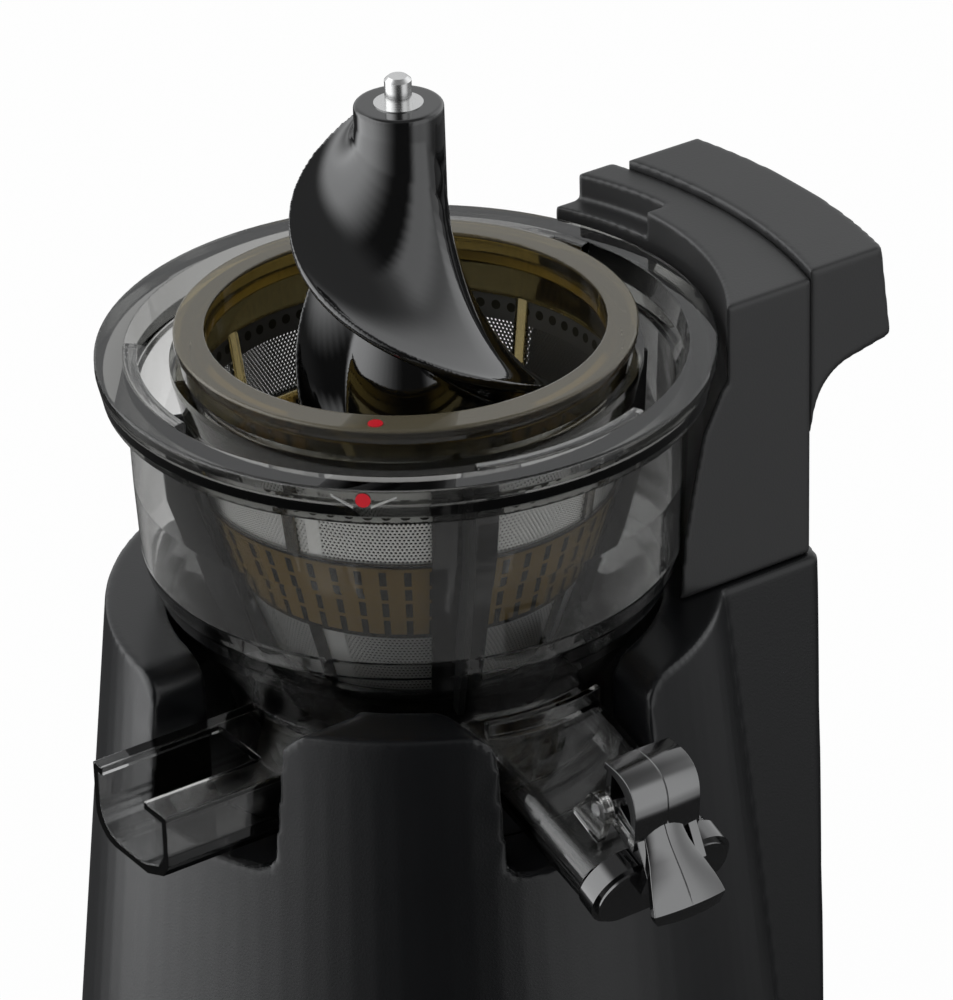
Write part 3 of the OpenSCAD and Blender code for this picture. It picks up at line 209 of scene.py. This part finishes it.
# Faces from each ring of points to the next
def join_rings(mesh, near, far):
    for i in range(len(near)):
        j = (i + 1) % len(near)
        mesh.faces.new((near[i], far[i], far[j], near[j]))


# Faces along a row of rings and over its two ends
def skin(mesh, rings):
    for near, far in zip(rings, rings[1:]):
        join_rings(mesh, near, far)
    mesh.faces.new(rings[0])
    mesh.faces.new(rings[-1][::-1])


def object_of(name, mesh):
    bmesh.ops.recalc_face_normals(mesh, faces=mesh.faces[:])
    data = bpy.data.meshes.new(name)
    mesh.to_mesh(data)
    mesh.free()
    obj = bpy.data.objects.new(name, data)
    bpy.context.collection.objects.link(obj)
    return obj


# A bar that is bent round the bowl's axis, with one step for each degree
def bent_bar(name, outline, start, end, body, mat):
    mesh = bmesh.new()
    steps = end - start
    skin(mesh, [ring_at(mesh, outline, math.radians(start + (end - start) * k / steps))
                for k in range(steps + 1)])
    bar = object_of(name, mesh)
    soft = bar.modifiers.new("rounded edges", "BEVEL")
    soft.width = 0.0003
    soft.segments = 2
    soft.limit_method = "ANGLE"
    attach(bar, body)
    wear(bar, mat)


# Three lugs inside the rim hold the lid's bayonet.
rim_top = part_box("bowl")[1][2]
lug = [(0.08345, rim_top - 0.0006), (0.0831, rim_top + 0.0004), (0.0798, rim_top + 0.0004),
       (0.0793, rim_top - 0.0004), (0.0793, rim_top - 0.0034), (0.0801, rim_top - 0.0042),
       (0.0822, rim_top - 0.0046)]
for name, start, end in [("lid_lug_front", 250, 291), ("lid_lug_left", 144, 183), ("lid_lug_back", 14, 54)]:
    bent_bar(name, lug, start, end, "bowl", smoke)

# Two pale ribs on the rim's outer face make the pointer beside the red dot.
pale_rib = clear_plastic("pale rib", 0.1, 1.49, (0.9, 0.9, 0.9), 30, body=0.5, body_tone=(0.75, 0.75, 0.73))
rim_face = 0.0917
rib_sunk = 0.0001
rib_face = 0.0923
rib_half = 0.00035


# A thin rib from one place on the rim to another, each given as an angle and a height
def slanted_rib(name, start, end, half, mat):
    mesh = bmesh.new()
    steps = 6
    inner = rim_face - rib_sunk
    outer = rib_face
    rings = []
    for k in range(steps + 1):
        t = k / steps
        turn = math.radians(start[0] + (end[0] - start[0]) * t)
        z = start[1] + (end[1] - start[1]) * t
        corners = [(inner, z - half), (outer, z - half), (outer, z + half), (inner, z + half)]
        rings.append(ring_at(mesh, corners, turn))
    skin(mesh, rings)
    rib = object_of(name, mesh)
    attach(rib, "bowl")
    wear(rib, mat)


slanted_rib("pointer_left", (222.4, rim_top - 0.0018), (226.4, rim_top - 0.0054), rib_half, pale_rib)
slanted_rib("pointer_right", (229.6, rim_top - 0.0052), (234.2, rim_top - 0.0019), rib_half, pale_rib)
red_dot = moulded("red printed dot", (0.62, 0.008, 0.02), 0.3, 0.05, 2500, 1.5)
wear(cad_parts["bowl_mark"], red_dot)

# ---- strainer
# An amber clear frame with a thick flange, and two bands of finely punched steel sheet that are
# moulded into its wall.
amber = clear_plastic("amber clear plastic", 0.05, 1.5, (0.68, 0.61, 0.28), 430, body=0.03,
                      body_tone=(0.42, 0.37, 0.25))


def math_node(tree, kind, a, b=None):
    node = tree.nodes.new("ShaderNodeMath")
    node.operation = kind
    feed(tree, node.inputs[0], a)
    if b is not None:
        feed(tree, node.inputs[1], b)
    return node.outputs[0]


# The X, Y and Z parts of a vector
def parts_of(tree, vector):
    node = tree.nodes.new("ShaderNodeSeparateXYZ")
    tree.links.new(vector, node.inputs["Vector"])
    return node.outputs["X"], node.outputs["Y"], node.outputs["Z"]


# The wall between the two punched bands has rows of narrow blind slots between its ribs. The slots have no
# depth in the mesh: they are painted near black, as painted shade in the recesses.
def add_slots(mat, low, high, rows, step, share, painted_slot_shade, top):
    slot_height = 0.8
    wall_tone = (0.36, 0.24, 0.075, 1)
    wall_body = 0.5
    satin_clear = 0.76
    tree = mat.node_tree
    shader = tree.nodes["Principled BSDF"]
    calc = partial(math_node, tree)
    x, y, z = parts_of(tree, object_place(tree))
    column = calc("FRACT", calc("DIVIDE", calc("ARCTAN2", y, x), step))
    row = calc("FRACT", calc("MULTIPLY", calc("SUBTRACT", z, low), rows / (high - low)))
    mask = calc("MULTIPLY", calc("LESS_THAN", column, share), calc("LESS_THAN", row, slot_height))
    inside = calc("MULTIPLY", calc("GREATER_THAN", z, low), calc("LESS_THAN", z, high))
    mask = calc("MULTIPLY", mask, inside)
    plain = shader.inputs["Base Color"].links[0].from_socket
    wall = mixed(tree, inside, plain, wall_tone)
    # painted shade: the slots get a near-black colour and lose their clearness
    feed(tree, shader.inputs["Base Color"], mixed(tree, mask, wall, (*painted_slot_shade, 1)))
    # the flange's top face is left satin by the mould, and the rest is polished
    polished_clear = shader.inputs["Transmission Weight"].default_value
    satin = ranged(tree, z, polished_clear, satin_clear, top - 0.0012, top - 0.0006)
    clear = calc("MULTIPLY", calc("SUBTRACT", 1.0, mask), satin)
    # the wall between the two bands of sheet is thick and shows the plastic's own colour
    clear = calc("MULTIPLY", clear, calc("SUBTRACT", 1.0, calc("MULTIPLY", inside, wall_body)))
    feed(tree, shader.inputs["Transmission Weight"], clear)


band_edge = 0.0015
band_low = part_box("lower_mesh")[1][2] + band_edge
band_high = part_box("upper_mesh")[0][2] - band_edge
# the near-black colour is the painted shade in the slots
add_slots(amber, band_low, band_high, 4, math.radians(7), 0.3, (0.02, 0.018, 0.012),
          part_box("strainer_frame")[1][2])
wear(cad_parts["strainer_frame"], amber)
wear(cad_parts["strainer_mark"], red_dot)


# Steel sheet with hexagonal rows of small round holes, laid out by angle and height around the
# strainer's axis. A plain border above them carries one row of larger anchor holes that the frame's
# plastic fills, and a plain seam runs down the sheet.
def punched(name, radius, pitch, hole, border, seam, seam_half):
    row_step = 0.866
    hole_edge = 0.07
    anchor_pitch = 0.0051
    anchor_rise = 0.0044
    anchor_size = 0.29
    mat, tree, shader = new_material(name)
    calc = partial(math_node, tree)

    def distance(across, up):
        return calc("SQRT", calc("ADD", calc("MULTIPLY", across, across), calc("MULTIPLY", up, up)))

    shader.inputs["Metallic"].default_value = 0.6
    place = tree.nodes.new("ShaderNodeTexCoord")
    where = place.outputs["Object"]
    x, y, z = parts_of(tree, where)
    angle = calc("ARCTAN2", y, x)
    arc = calc("MULTIPLY", angle, radius)
    # every other row is shifted by half a pitch
    along = calc("DIVIDE", arc, pitch)
    above = calc("DIVIDE", z, pitch * row_step)
    shift = calc("MULTIPLY", calc("MODULO", calc("FLOOR", above), 2.0), 0.5)
    across = calc("SUBTRACT", calc("FRACT", calc("ADD", along, shift)), 0.5)
    up = calc("MULTIPLY", calc("SUBTRACT", calc("FRACT", above), 0.5), row_step)
    fine = ranged(tree, distance(across, up), 1.0, 0.0, hole - hole_edge, hole + hole_edge, "SMOOTHSTEP")
    in_field = calc("LESS_THAN", z, border)
    off_seam = calc("GREATER_THAN", calc("ABSOLUTE", calc("SUBTRACT", angle, seam)), seam_half)
    fine = calc("MULTIPLY", fine, calc("MULTIPLY", in_field, off_seam))
    sideways = calc("SUBTRACT", calc("FRACT", calc("DIVIDE", arc, anchor_pitch)), 0.5)
    upwards = calc("DIVIDE", calc("SUBTRACT", z, border + anchor_rise), anchor_pitch)
    anchors = calc("LESS_THAN", distance(sideways, upwards), anchor_size)
    feed(tree, shader.inputs["Alpha"], calc("SUBTRACT", 1.0, fine))
    clouds = noise(tree, where, 90.0)
    bright = mixed(tree, clouds, (0.78, 0.78, 0.75, 1), (0.92, 0.92, 0.9, 1))
    # the face towards the auger is dull and dark with painted shade, as the strainer's inside lies in
    # shade; the outer face is bright
    outward = tree.nodes.new("ShaderNodeVectorMath")
    outward.operation = "MULTIPLY"
    outward.inputs[1].default_value = (1, 1, 0)
    tree.links.new(where, outward.inputs[0])
    facing = tree.nodes.new("ShaderNodeVectorMath")
    facing.operation = "DOT_PRODUCT"
    tree.links.new(outward.outputs["Vector"], facing.inputs[0])
    tree.links.new(place.outputs["Normal"], facing.inputs[1])
    outer_face = calc("GREATER_THAN", facing.outputs["Value"], 0.0)
    steel_and_painted_shade = mixed(tree, outer_face, (0.1, 0.098, 0.09, 1), bright)
    feed(tree, shader.inputs["Base Color"], mixed(tree, anchors, steel_and_painted_shade, (0.02, 0.018, 0.01, 1)))
    feed(tree, shader.inputs["Roughness"], ranged(tree, clouds, 0.3, 0.45))
    add_bump(tree, shader, calc("MAXIMUM", fine, anchors), 0.4, 0.0002, invert=True)
    return mat


# Each band: its radius, the height where its plain border starts, and its seam's angle and half width
hole_pitch = 0.0013
hole_size = 0.33
upper_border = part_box("upper_mesh")[1][2] - 0.008
no_border = 1.0
wear(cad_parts["upper_mesh"],
     punched("upper punched steel", 0.062, hole_pitch, hole_size, upper_border, -2.63, 0.035))
wear(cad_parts["lower_mesh"],
     punched("lower punched steel", 0.05, hole_pitch, hole_size, no_border, -2.64, 0.07))

# ---- brush holder
# A dark glossy cage that turns between the strainer and the bowl, with soft silicone wipers. Its top
# ring is clear with a grey tint.
cage_tone = (0.008, 0.008, 0.007)
cage_black = moulded("cage plastic", cage_tone, 0.07, 0.03, 900, 1.45)
cage_tree = cage_black.node_tree
cage_shader = cage_tree.nodes["Principled BSDF"]
cage_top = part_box("brush_holder")[1][2]
cage_height = parts_of(cage_tree, object_place(cage_tree))[2]
clear_ring = ranged(cage_tree, cage_height, 0.0, 1.0, cage_top - 0.014, cage_top - 0.012)
feed(cage_tree, cage_shader.inputs["Transmission Weight"], clear_ring)
feed(cage_tree, cage_shader.inputs["Base Color"],
     mixed(cage_tree, clear_ring, (*cage_tone, 1), (0.2, 0.2, 0.18, 1)))
wear(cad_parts["brush_holder"], cage_black)
silicone = moulded("dark silicone", (0.03, 0.03, 0.03), 0.55, 0.1, 1200, 1.42)
wear(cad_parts["wiper_blades"], silicone)


# ---- auger
# A solid piano-black moulding: a hub that flares into a cone, one big flight that winds down around
# it with a hollow upper face, like the inside of a shell, and a second, shorter ridge.
hub_r = 0.0132
hub_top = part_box("auger_body")[1][2]
bore_r = 0.00503
neck_r = 0.0186
foot_z = 0.1906
root_depth = 0.006
flight_r = 0.048
flight_start = math.radians(110)
flight_turn = math.radians(240)
flight_steps = 120
flight_drop = 0.0958
flight_lip = 0.003
face_power = 1.85


def edge_radius(t):
    return hub_r + 0.0024 + (flight_r - hub_r - 0.0026) * (1 - max(0, 1 - t / 0.62) ** 1.9)


def edge_height(t):
    return hub_top - 0.0067 - flight_drop * t


# The flight's cross section at t, 0 to 1 along its turn: root, hollow face, lip and under side
def flight_ring(t):
    reach = edge_radius(t)
    low = edge_height(t)
    rise = min(0.066, hub_top - 0.0048 - low)
    ring = [(hub_r - root_depth, low + rise)]
    for step in range(25):
        u = 1 - step / 24
        height = low + rise * (1 - (1 - u ** face_power) ** (1 / face_power))
        ring.append((reach - u * (reach - hub_r + 0.0002), height))
    under = 0.003 + 0.011 * min(1, t * 4)
    ring.append((reach, low - flight_lip))
    ring.append(((reach + hub_r) / 2, low - flight_lip - under / 3))
    ring.append((hub_r - root_depth, low - flight_lip - under))
    return ring


ridge_start = 140
ridge_turn = 84
ridge_steps = 60
ridge_top = 0.322
ridge_drop = 0.064
ridge_rise = 0.03
ridge_base = 0.0135
ridge_root = 0.010
ridge_power = 1.7


def ridge_ring(t):
    low = ridge_top - ridge_drop * t
    reach = 0.0265 + 0.0165 * (1 - (1 - t) ** 1.8)
    ring = [(ridge_root, low + ridge_rise)]
    for step in range(13):
        u = 1 - step / 12
        height = low + ridge_rise * (1 - (1 - u ** ridge_power) ** (1 / ridge_power))
        ring.append((reach - u * (reach - ridge_base), height))
    ring.append((reach, low - 0.0022))
    ring.append(((reach + ridge_base) / 2, low - 0.006))
    ring.append((ridge_root, low - 0.012))
    return ring


def lathe(mesh, outline, steps):
    rings = [ring_at(mesh, outline, 2 * math.pi * k / steps) for k in range(steps)]
    for k in range(steps):
        join_rings(mesh, rings[k], rings[(k + 1) % steps])


# Turns a finished mesh into a smooth object
def as_piece(name, mesh):
    bmesh.ops.remove_doubles(mesh, verts=mesh.verts[:], dist=1e-7)
    obj = object_of(name, mesh)
    for face in obj.data.polygons:
        face.use_smooth = True
    return obj


flight = bmesh.new()
shares = [k / flight_steps for k in range(flight_steps + 1)]
skin(flight, [ring_at(flight, flight_ring(t), flight_start + flight_turn * t) for t in shares])
auger = as_piece("auger", flight)
ridge = bmesh.new()
shares = [k / ridge_steps for k in range(ridge_steps + 1)]
skin(ridge, [ring_at(ridge, ridge_ring(t), math.radians(ridge_start + ridge_turn * t)) for t in shares])
second = as_piece("auger ridge", ridge)
core = bmesh.new()
hub_outline = [(bore_r, hub_top), (hub_r - 0.0008, hub_top), (hub_r, hub_top - 0.0008),
               (hub_r + 0.0003, 0.334), (hub_r + 0.0004, 0.328), (0.0146, 0.318), (0.0178, 0.308),
               (0.0222, 0.298), (0.0255, 0.290), (0.028, 0.284), (0.033, 0.255), (0.037, 0.222),
               (0.037, 0.2147), (neck_r, 0.2147), (neck_r, 0.204), (neck_r, foot_z), (bore_r, foot_z)]
lathe(core, hub_outline, 96)
hub = as_piece("auger hub", core)
for name, added in [("hub", hub), ("ridge", second)]:
    union = auger.modifiers.new(name, "BOOLEAN")
    union.operation = "UNION"
    union.object = added
rounded(auger, 0.00045, 3, 0.3)
bpy.data.objects.remove(hub)
bpy.data.objects.remove(second)
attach(auger, "auger")
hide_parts("auger_body")
piano_black = moulded("piano black plastic", (0.0025, 0.0025, 0.0026), 0.045, 0.0, 0, 1.7)
wear(auger, piano_black)


# ---- top pin, washer and other turned steel
# The auger turns in the lid on a steel pin that is moulded into its hub over a thin washer. Turned
# steel has fine lines around its axis.
def turned_steel(name, tone, rough):
    mat, tree, shader = new_material(name)
    shader.inputs["Metallic"].default_value = 1.0
    stretch = tree.nodes.new("ShaderNodeMapping")
    stretch.inputs["Scale"].default_value = (120, 120, 5200)
    tree.links.new(object_place(tree), stretch.inputs["Vector"])
    lines = noise(tree, stretch.outputs["Vector"], 1.0)
    shade = mixed(tree, lines, (tone * 0.85, tone * 0.85, tone * 0.85, 1), (tone, tone, tone * 0.99, 1))
    feed(tree, shader.inputs["Base Color"], shade)
    feed(tree, shader.inputs["Roughness"], ranged(tree, lines, rough * 0.7, rough * 1.3))
    return mat


bright_steel = turned_steel("turned steel", 0.72, 0.25)
for node in ["auger_pin", "auger_washer", "hinge_pin", "idler_pin", "counter_pin", "drive_shaft",
             "motor_shaft", "base_screws", "gearbox_screws", "motor_bearings", "drive_bearings"]:
    wear(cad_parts[node], bright_steel)

# ---- spout cap and lever
# The cap, its seal and the hooked lever that snaps it open are glossy mouldings on a steel pin. The
# lever is a hood over the hinge with a petal in front, two side plates and a hub.
gloss_black = moulded("gloss black moulding", (0.0045, 0.0045, 0.0047), 0.08, 0.0, 0, 1.9)
wear(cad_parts["spout_cap"], gloss_black)
pin_low, pin_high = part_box("hinge_pin")
hinge = [(a + b) / 2 for a, b in zip(pin_low, pin_high)]
spout_turn = math.radians(112)


# The lever's points are given in millimetres from the hinge's middle: along the spout, up from it
# and across.
def on_lever(along, above, across):
    return (hinge[0] - across / 1000,
            hinge[1] + (above * math.cos(spout_turn) - along * math.sin(spout_turn)) / 1000,
            hinge[2] + (above * math.sin(spout_turn) + along * math.cos(spout_turn)) / 1000)


# A closed sheet between two grids of points
def sheet_of(mesh, outer, inner):
    grids = [[[mesh.verts.new(on_lever(*p)) for p in row] for row in grid] for grid in (outer, inner)]
    rows = len(outer)
    cols = len(outer[0])
    for i in range(rows - 1):
        for j in range(cols - 1):
            for g in grids:
                mesh.faces.new((g[i][j], g[i + 1][j], g[i + 1][j + 1], g[i][j + 1]))
    for j in range(cols - 1):
        for i in (0, rows - 1):
            mesh.faces.new((grids[0][i][j], grids[0][i][j + 1], grids[1][i][j + 1], grids[1][i][j]))
    for i in range(rows - 1):
        for j in (0, cols - 1):
            mesh.faces.new((grids[0][i][j], grids[0][i + 1][j], grids[1][i + 1][j], grids[1][i][j]))


def side_plate(mesh, outline, start, end):
    ends = [[mesh.verts.new(on_lever(a, b, c)) for a, b in outline] for c in (start, end)]
    for i in range(len(outline)):
        j = (i + 1) % len(outline)
        mesh.faces.new((ends[0][i], ends[0][j], ends[1][j], ends[1][i]))
    mesh.faces.new(ends[0])
    mesh.faces.new(ends[1][::-1])


lever_mesh = bmesh.new()
hood_half = 11.5
hood_r = 15.0
hood_inner_r = 12.5
hood_from = -13
hood_step = 5
seam_depth = 0.3
corner = math.radians(18)
spread = [-1, -0.8, -0.5, -0.25, -0.016, 0, 0.016, 0.25, 0.5, 0.8, 1]
outer = []
inner = []
for k in range(26):
    turn = math.radians(hood_from + hood_step * k)
    row = []
    for s in spread:
        # the hood's section is squarer than a circle, with its corner towards the front
        square = (abs(math.cos(turn - corner)) ** 3 + abs(math.sin(turn - corner)) ** 3) ** (-1 / 3)
        r = hood_r * square - 0.25 * s * s - (seam_depth if s == 0 else 0)
        row.append((r * math.cos(turn), r * math.sin(turn), s * hood_half))
    outer.append(row)
    inner.append([(hood_inner_r * math.cos(turn), hood_inner_r * math.sin(turn), s * hood_half)
                  for s in spread])
sheet_of(lever_mesh, outer, inner)
# the petal: along, above and half width, from the hood to its bent tip
petal = [(13.6, 5.0, 6.7), (14.9, 2.9, 6.7), (16.8, 1.0, 6.8), (19.4, -0.9, 7.3), (22.6, -2.8, 8.3),
         (26.2, -4.8, 9.8), (29.8, -7.0, 11.1), (32.6, -9.0, 12.0), (34.9, -10.8, 12.5),
         (35.3, -12.8, 12.3), (35.8, -15.2, 11.0)]
petal_thickness = 2.2
petal_across = 1.2
seam_rows = 8
outer = []
inner = []
for k, (along, above, half) in enumerate(petal):
    before = petal[max(0, k - 1)]
    after = petal[min(len(petal) - 1, k + 1)]
    run = Vector((after[0] - before[0], after[1] - before[1])).normalized()
    face = Vector((-run.y, run.x))
    row = []
    back_row = []
    for s in spread:
        crown = -1.3 * abs(s) ** 2.2 - (seam_depth if s == 0 and k < seam_rows else 0)
        behind = crown - petal_thickness
        row.append((along + face.x * crown, above + face.y * crown, petal_across + s * half))
        back_row.append((along + face.x * behind, above + face.y * behind, petal_across + s * half))
    outer.append(row)
    inner.append(back_row)
sheet_of(lever_mesh, outer, inner)
arm = [(-2, 4), (4, 4.2), (13.3, 2), (23.5, -7.2), (23.1, -15.2), (20.12, -15.2), (20.12, -5.7),
       (13.1, -5.7), (2, -4.2), (-3, -3)]
for side in (-1, 1):
    side_plate(lever_mesh, arm, side * 9 - 1.5, side * 9 + 1.5)
disc_r = 4.5
disc = [(disc_r * math.cos(math.pi * k / 12), disc_r * math.sin(math.pi * k / 12)) for k in range(24)]
side_plate(lever_mesh, disc, -11.3, 11.3)
spoke = [(3.5, -1.2), (13.2, -1.2), (13.2, 1.2), (3.5, 1.2)]
for degrees in (-3, 55, 104):
    turn = math.radians(degrees)
    turned = [(x * math.cos(turn) - y * math.sin(turn), x * math.sin(turn) + y * math.cos(turn))
              for x, y in spoke]
    side_plate(lever_mesh, turned, -11, 11)
lever = as_piece("lever", lever_mesh)
edge = lever.modifiers.new("rounded edges", "BEVEL")
edge.width = 0.0005
edge.segments = 3
edge.limit_method = "ANGLE"
edge.angle_limit = math.radians(40)
even = lever.modifiers.new("flat faces", "WEIGHTED_NORMAL")
even.keep_sharp = False
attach(lever, "lever")
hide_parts("cap_lever")
lever_gloss = moulded("lever piano black", (0.004, 0.004, 0.0042), 0.07, 0.0, 0, 2.35)
wear(lever, lever_gloss)

# ---- inside the casing, and what only shows from below or behind
# Motor, gearbox, electrics, seals and feet, each in the finish that its kind has.
plain_black = moulded("plain black moulding", (0.012, 0.012, 0.012), 0.5, 0.1, 900, 1.5)
foot_rubber = moulded("foot rubber", (0.02, 0.02, 0.02), 0.75, 0.2, 700, 1.45)
pressed_steel = moulded("painted steel", (0.22, 0.22, 0.23), 0.4, 0.05, 600, 1.5)
varnish = moulded("varnished laminations", (0.12, 0.075, 0.04), 0.45, 0.1, 1600, 1.5)
cast_metal = turned_steel("cast aluminium", 0.55, 0.45)
acetal = moulded("natural acetal", (0.72, 0.69, 0.6), 0.35, 0.03, 900, 1.48)
board_green = moulded("solder mask", (0.02, 0.12, 0.04), 0.35, 0.05, 700, 1.5)
pale_can = moulded("capacitor can", (0.6, 0.6, 0.56), 0.4, 0.04, 700, 1.5)
seal_grey = moulded("seal silicone", (0.08, 0.08, 0.08), 0.6, 0.1, 900, 1.42)
for mat, covered in [(plain_black, ["base_plate", "cord_gland", "cooling_fan", "lid_sensor"]),
                     (foot_rubber, ["foot_ring"]),
                     (pressed_steel, ["motor_can"]),
                     (varnish, ["motor_stator", "motor_rotor"]),
                     (cast_metal, ["gearbox_housing", "gearbox_mid_plate", "gearbox_lid"]),
                     (acetal, ["counter_gear", "output_gear", "idler_gear"]),
                     (board_green, ["control_board"]),
                     (pale_can, ["run_capacitor"]),
                     (seal_grey, ["shaft_seal", "bowl_seal", "pulp_plug", "cap_seal"]),
                     (gloss_black, ["rocker_bezel", "power_rocker"])]:
    for node in covered:
        wear(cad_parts[node], mat)

# ---- camera
# A long lens that looks down on the machine from its left front, with a slight roll. It is aimed at
# a place near the bowl's rim, on the bowl's axis.
camera_turn = math.radians(-34)
camera_lift = math.radians(28.816)
camera_roll = math.radians(-1.524)
camera_far = 1.765666
aim = Vector((0, 0, 0.3))
aim_sideways = 0.020685
aim_down = 0.046789
back = Vector((math.sin(camera_turn) * math.cos(camera_lift),
               -math.cos(camera_turn) * math.cos(camera_lift), math.sin(camera_lift)))
level = Vector((math.cos(camera_turn), math.sin(camera_turn), 0))
upright = back.cross(level)
side = math.cos(camera_roll) * level + math.sin(camera_roll) * upright
up = -math.sin(camera_roll) * level + math.cos(camera_roll) * upright
eye = aim + aim_sideways * side - aim_down * up + camera_far * back
camera_data = bpy.data.cameras.new("camera")
camera_data.lens = 216
camera_data.sensor_width = 36
camera_data.clip_end = 20
camera = bpy.data.objects.new("camera", camera_data)
camera.matrix_world = Matrix(((side.x, up.x, back.x, eye.x), (side.y, up.y, back.y, eye.y),
                              (side.z, up.z, back.z, eye.z), (0, 0, 0, 1)))
bpy.context.collection.objects.link(camera)
bpy.context.scene.camera = camera

# ---- studio
# Dim surroundings with a strong tall soft panel on the left, weaker ones on the right and behind, and
# a faint one above, all in the world shader, so their edges are soft. The camera, and what it sees
# straight through clear pieces, gets plain white.
front_heading = 236
dim = 0.05
world = bpy.data.worlds.new("studio")
bpy.context.scene.world = world
world.use_nodes = True
sky = world.node_tree
sky_math = partial(math_node, sky)


# 1 between two values and 0 outside them, with an edge of its own width at each end
def between(value, low, low_edge, high, high_edge):
    rise = ranged(sky, value, 0.0, 1.0, low - low_edge, low + low_edge, "SMOOTHSTEP")
    fall = ranged(sky, value, 1.0, 0.0, high - high_edge, high + high_edge, "SMOOTHSTEP")
    return sky_math("MULTIPLY", rise, fall)


# One shader or another, by a share
def blended(tree, share, first, second):
    node = tree.nodes.new("ShaderNodeMixShader")
    tree.links.new(share, node.inputs["Fac"])
    tree.links.new(first, node.inputs[1])
    tree.links.new(second, node.inputs[2])
    return node.outputs["Shader"]


x, y, z = parts_of(sky, sky.nodes.new("ShaderNodeTexCoord").outputs["Generated"])
heading = sky_math("MULTIPLY", sky_math("ARCTAN2", y, x), 180 / math.pi)
# headings are counted from the dark side where the camera stands
heading = sky_math("MODULO", sky_math("ADD", heading, 720.0 - front_heading), 360.0)
height = sky_math("MULTIPLY", sky_math("ARCSINE", z), 180 / math.pi)
# each panel: two headings and two heights in degrees, each with its edge's width, and a strength
panels = {
    "right": (33, 10, 80, 16, -32, 3, 40, 9, 0.75),
    "far right": (30, 10, 150, 20, -22, 8, 50, 12, 0.5),
    "backdrop": (100, 20, 240, 16, -8, 6, 52, 12, 0.75),
    "left": (236, 13, 318, 38, -27.6, 1.0, 50, 12, 2.5),
    "top": (-20, 5, 380, 5, 50, 12, 120, 5, 0.2)}
total = None
for start, start_edge, end, end_edge, low, low_edge, high, high_edge, strength in panels.values():
    part = sky_math("MULTIPLY", between(heading, start, start_edge, end, end_edge),
                    between(height, low, low_edge, high, high_edge))
    part = sky_math("MULTIPLY", part, strength)
    total = part if total is None else sky_math("ADD", total, part)
studio = sky.nodes["Background"]
studio.inputs["Color"].default_value = (0.98, 0.99, 1.0, 1)
feed(sky, studio.inputs["Strength"], sky_math("ADD", total, dim))
plain = sky.nodes.new("ShaderNodeBackground")
plain.inputs["Color"].default_value = (1, 1, 1, 1)
path = sky.nodes.new("ShaderNodeLightPath")
bounces = sky_math("ADD", path.outputs["Diffuse Depth"], path.outputs["Glossy Depth"])
bounced = sky_math("MINIMUM", bounces, 1.0)
straight = sky_math("MULTIPLY", path.outputs["Is Transmission Ray"], sky_math("SUBTRACT", 1.0, bounced))
seen = sky_math("MAXIMUM", path.outputs["Is Camera Ray"], straight)
feed(sky, sky.nodes["World Output"].inputs["Surface"],
     blended(sky, seen, studio.outputs["Background"], plain.outputs["Background"]))
bpy.context.scene.view_settings.view_transform = "Standard"

# ---- floor
# A plain pale sweep under the machine. The camera sees it nearly white, also through clear pieces,
# and it keeps a faint share of a matt surface for the soft shadow.
floor_half = 3.0
white_share = 0.975
ground = bmesh.new()
bmesh.ops.create_grid(ground, x_segments=8, y_segments=8, size=floor_half)
floor = as_piece("floor", ground)
floor_mat, floor_tree, matt = new_material("pale floor")
matt.inputs["Base Color"].default_value = (0.7, 0.7, 0.7, 1)
matt.inputs["Roughness"].default_value = 0.9
white = floor_tree.nodes.new("ShaderNodeEmission")
white.inputs["Color"].default_value = (1, 1, 1, 1)
ray = floor_tree.nodes.new("ShaderNodeLightPath")
seen = math_node(floor_tree, "MAXIMUM", ray.outputs["Is Camera Ray"], ray.outputs["Is Transmission Ray"])
share = math_node(floor_tree, "MULTIPLY", seen, white_share)
feed(floor_tree, floor_tree.nodes["Material Output"].inputs["Surface"],
     blended(floor_tree, share, matt.outputs["BSDF"], white.outputs["Emission"]))
wear(floor, floor_mat)
floor.visible_glossy = False
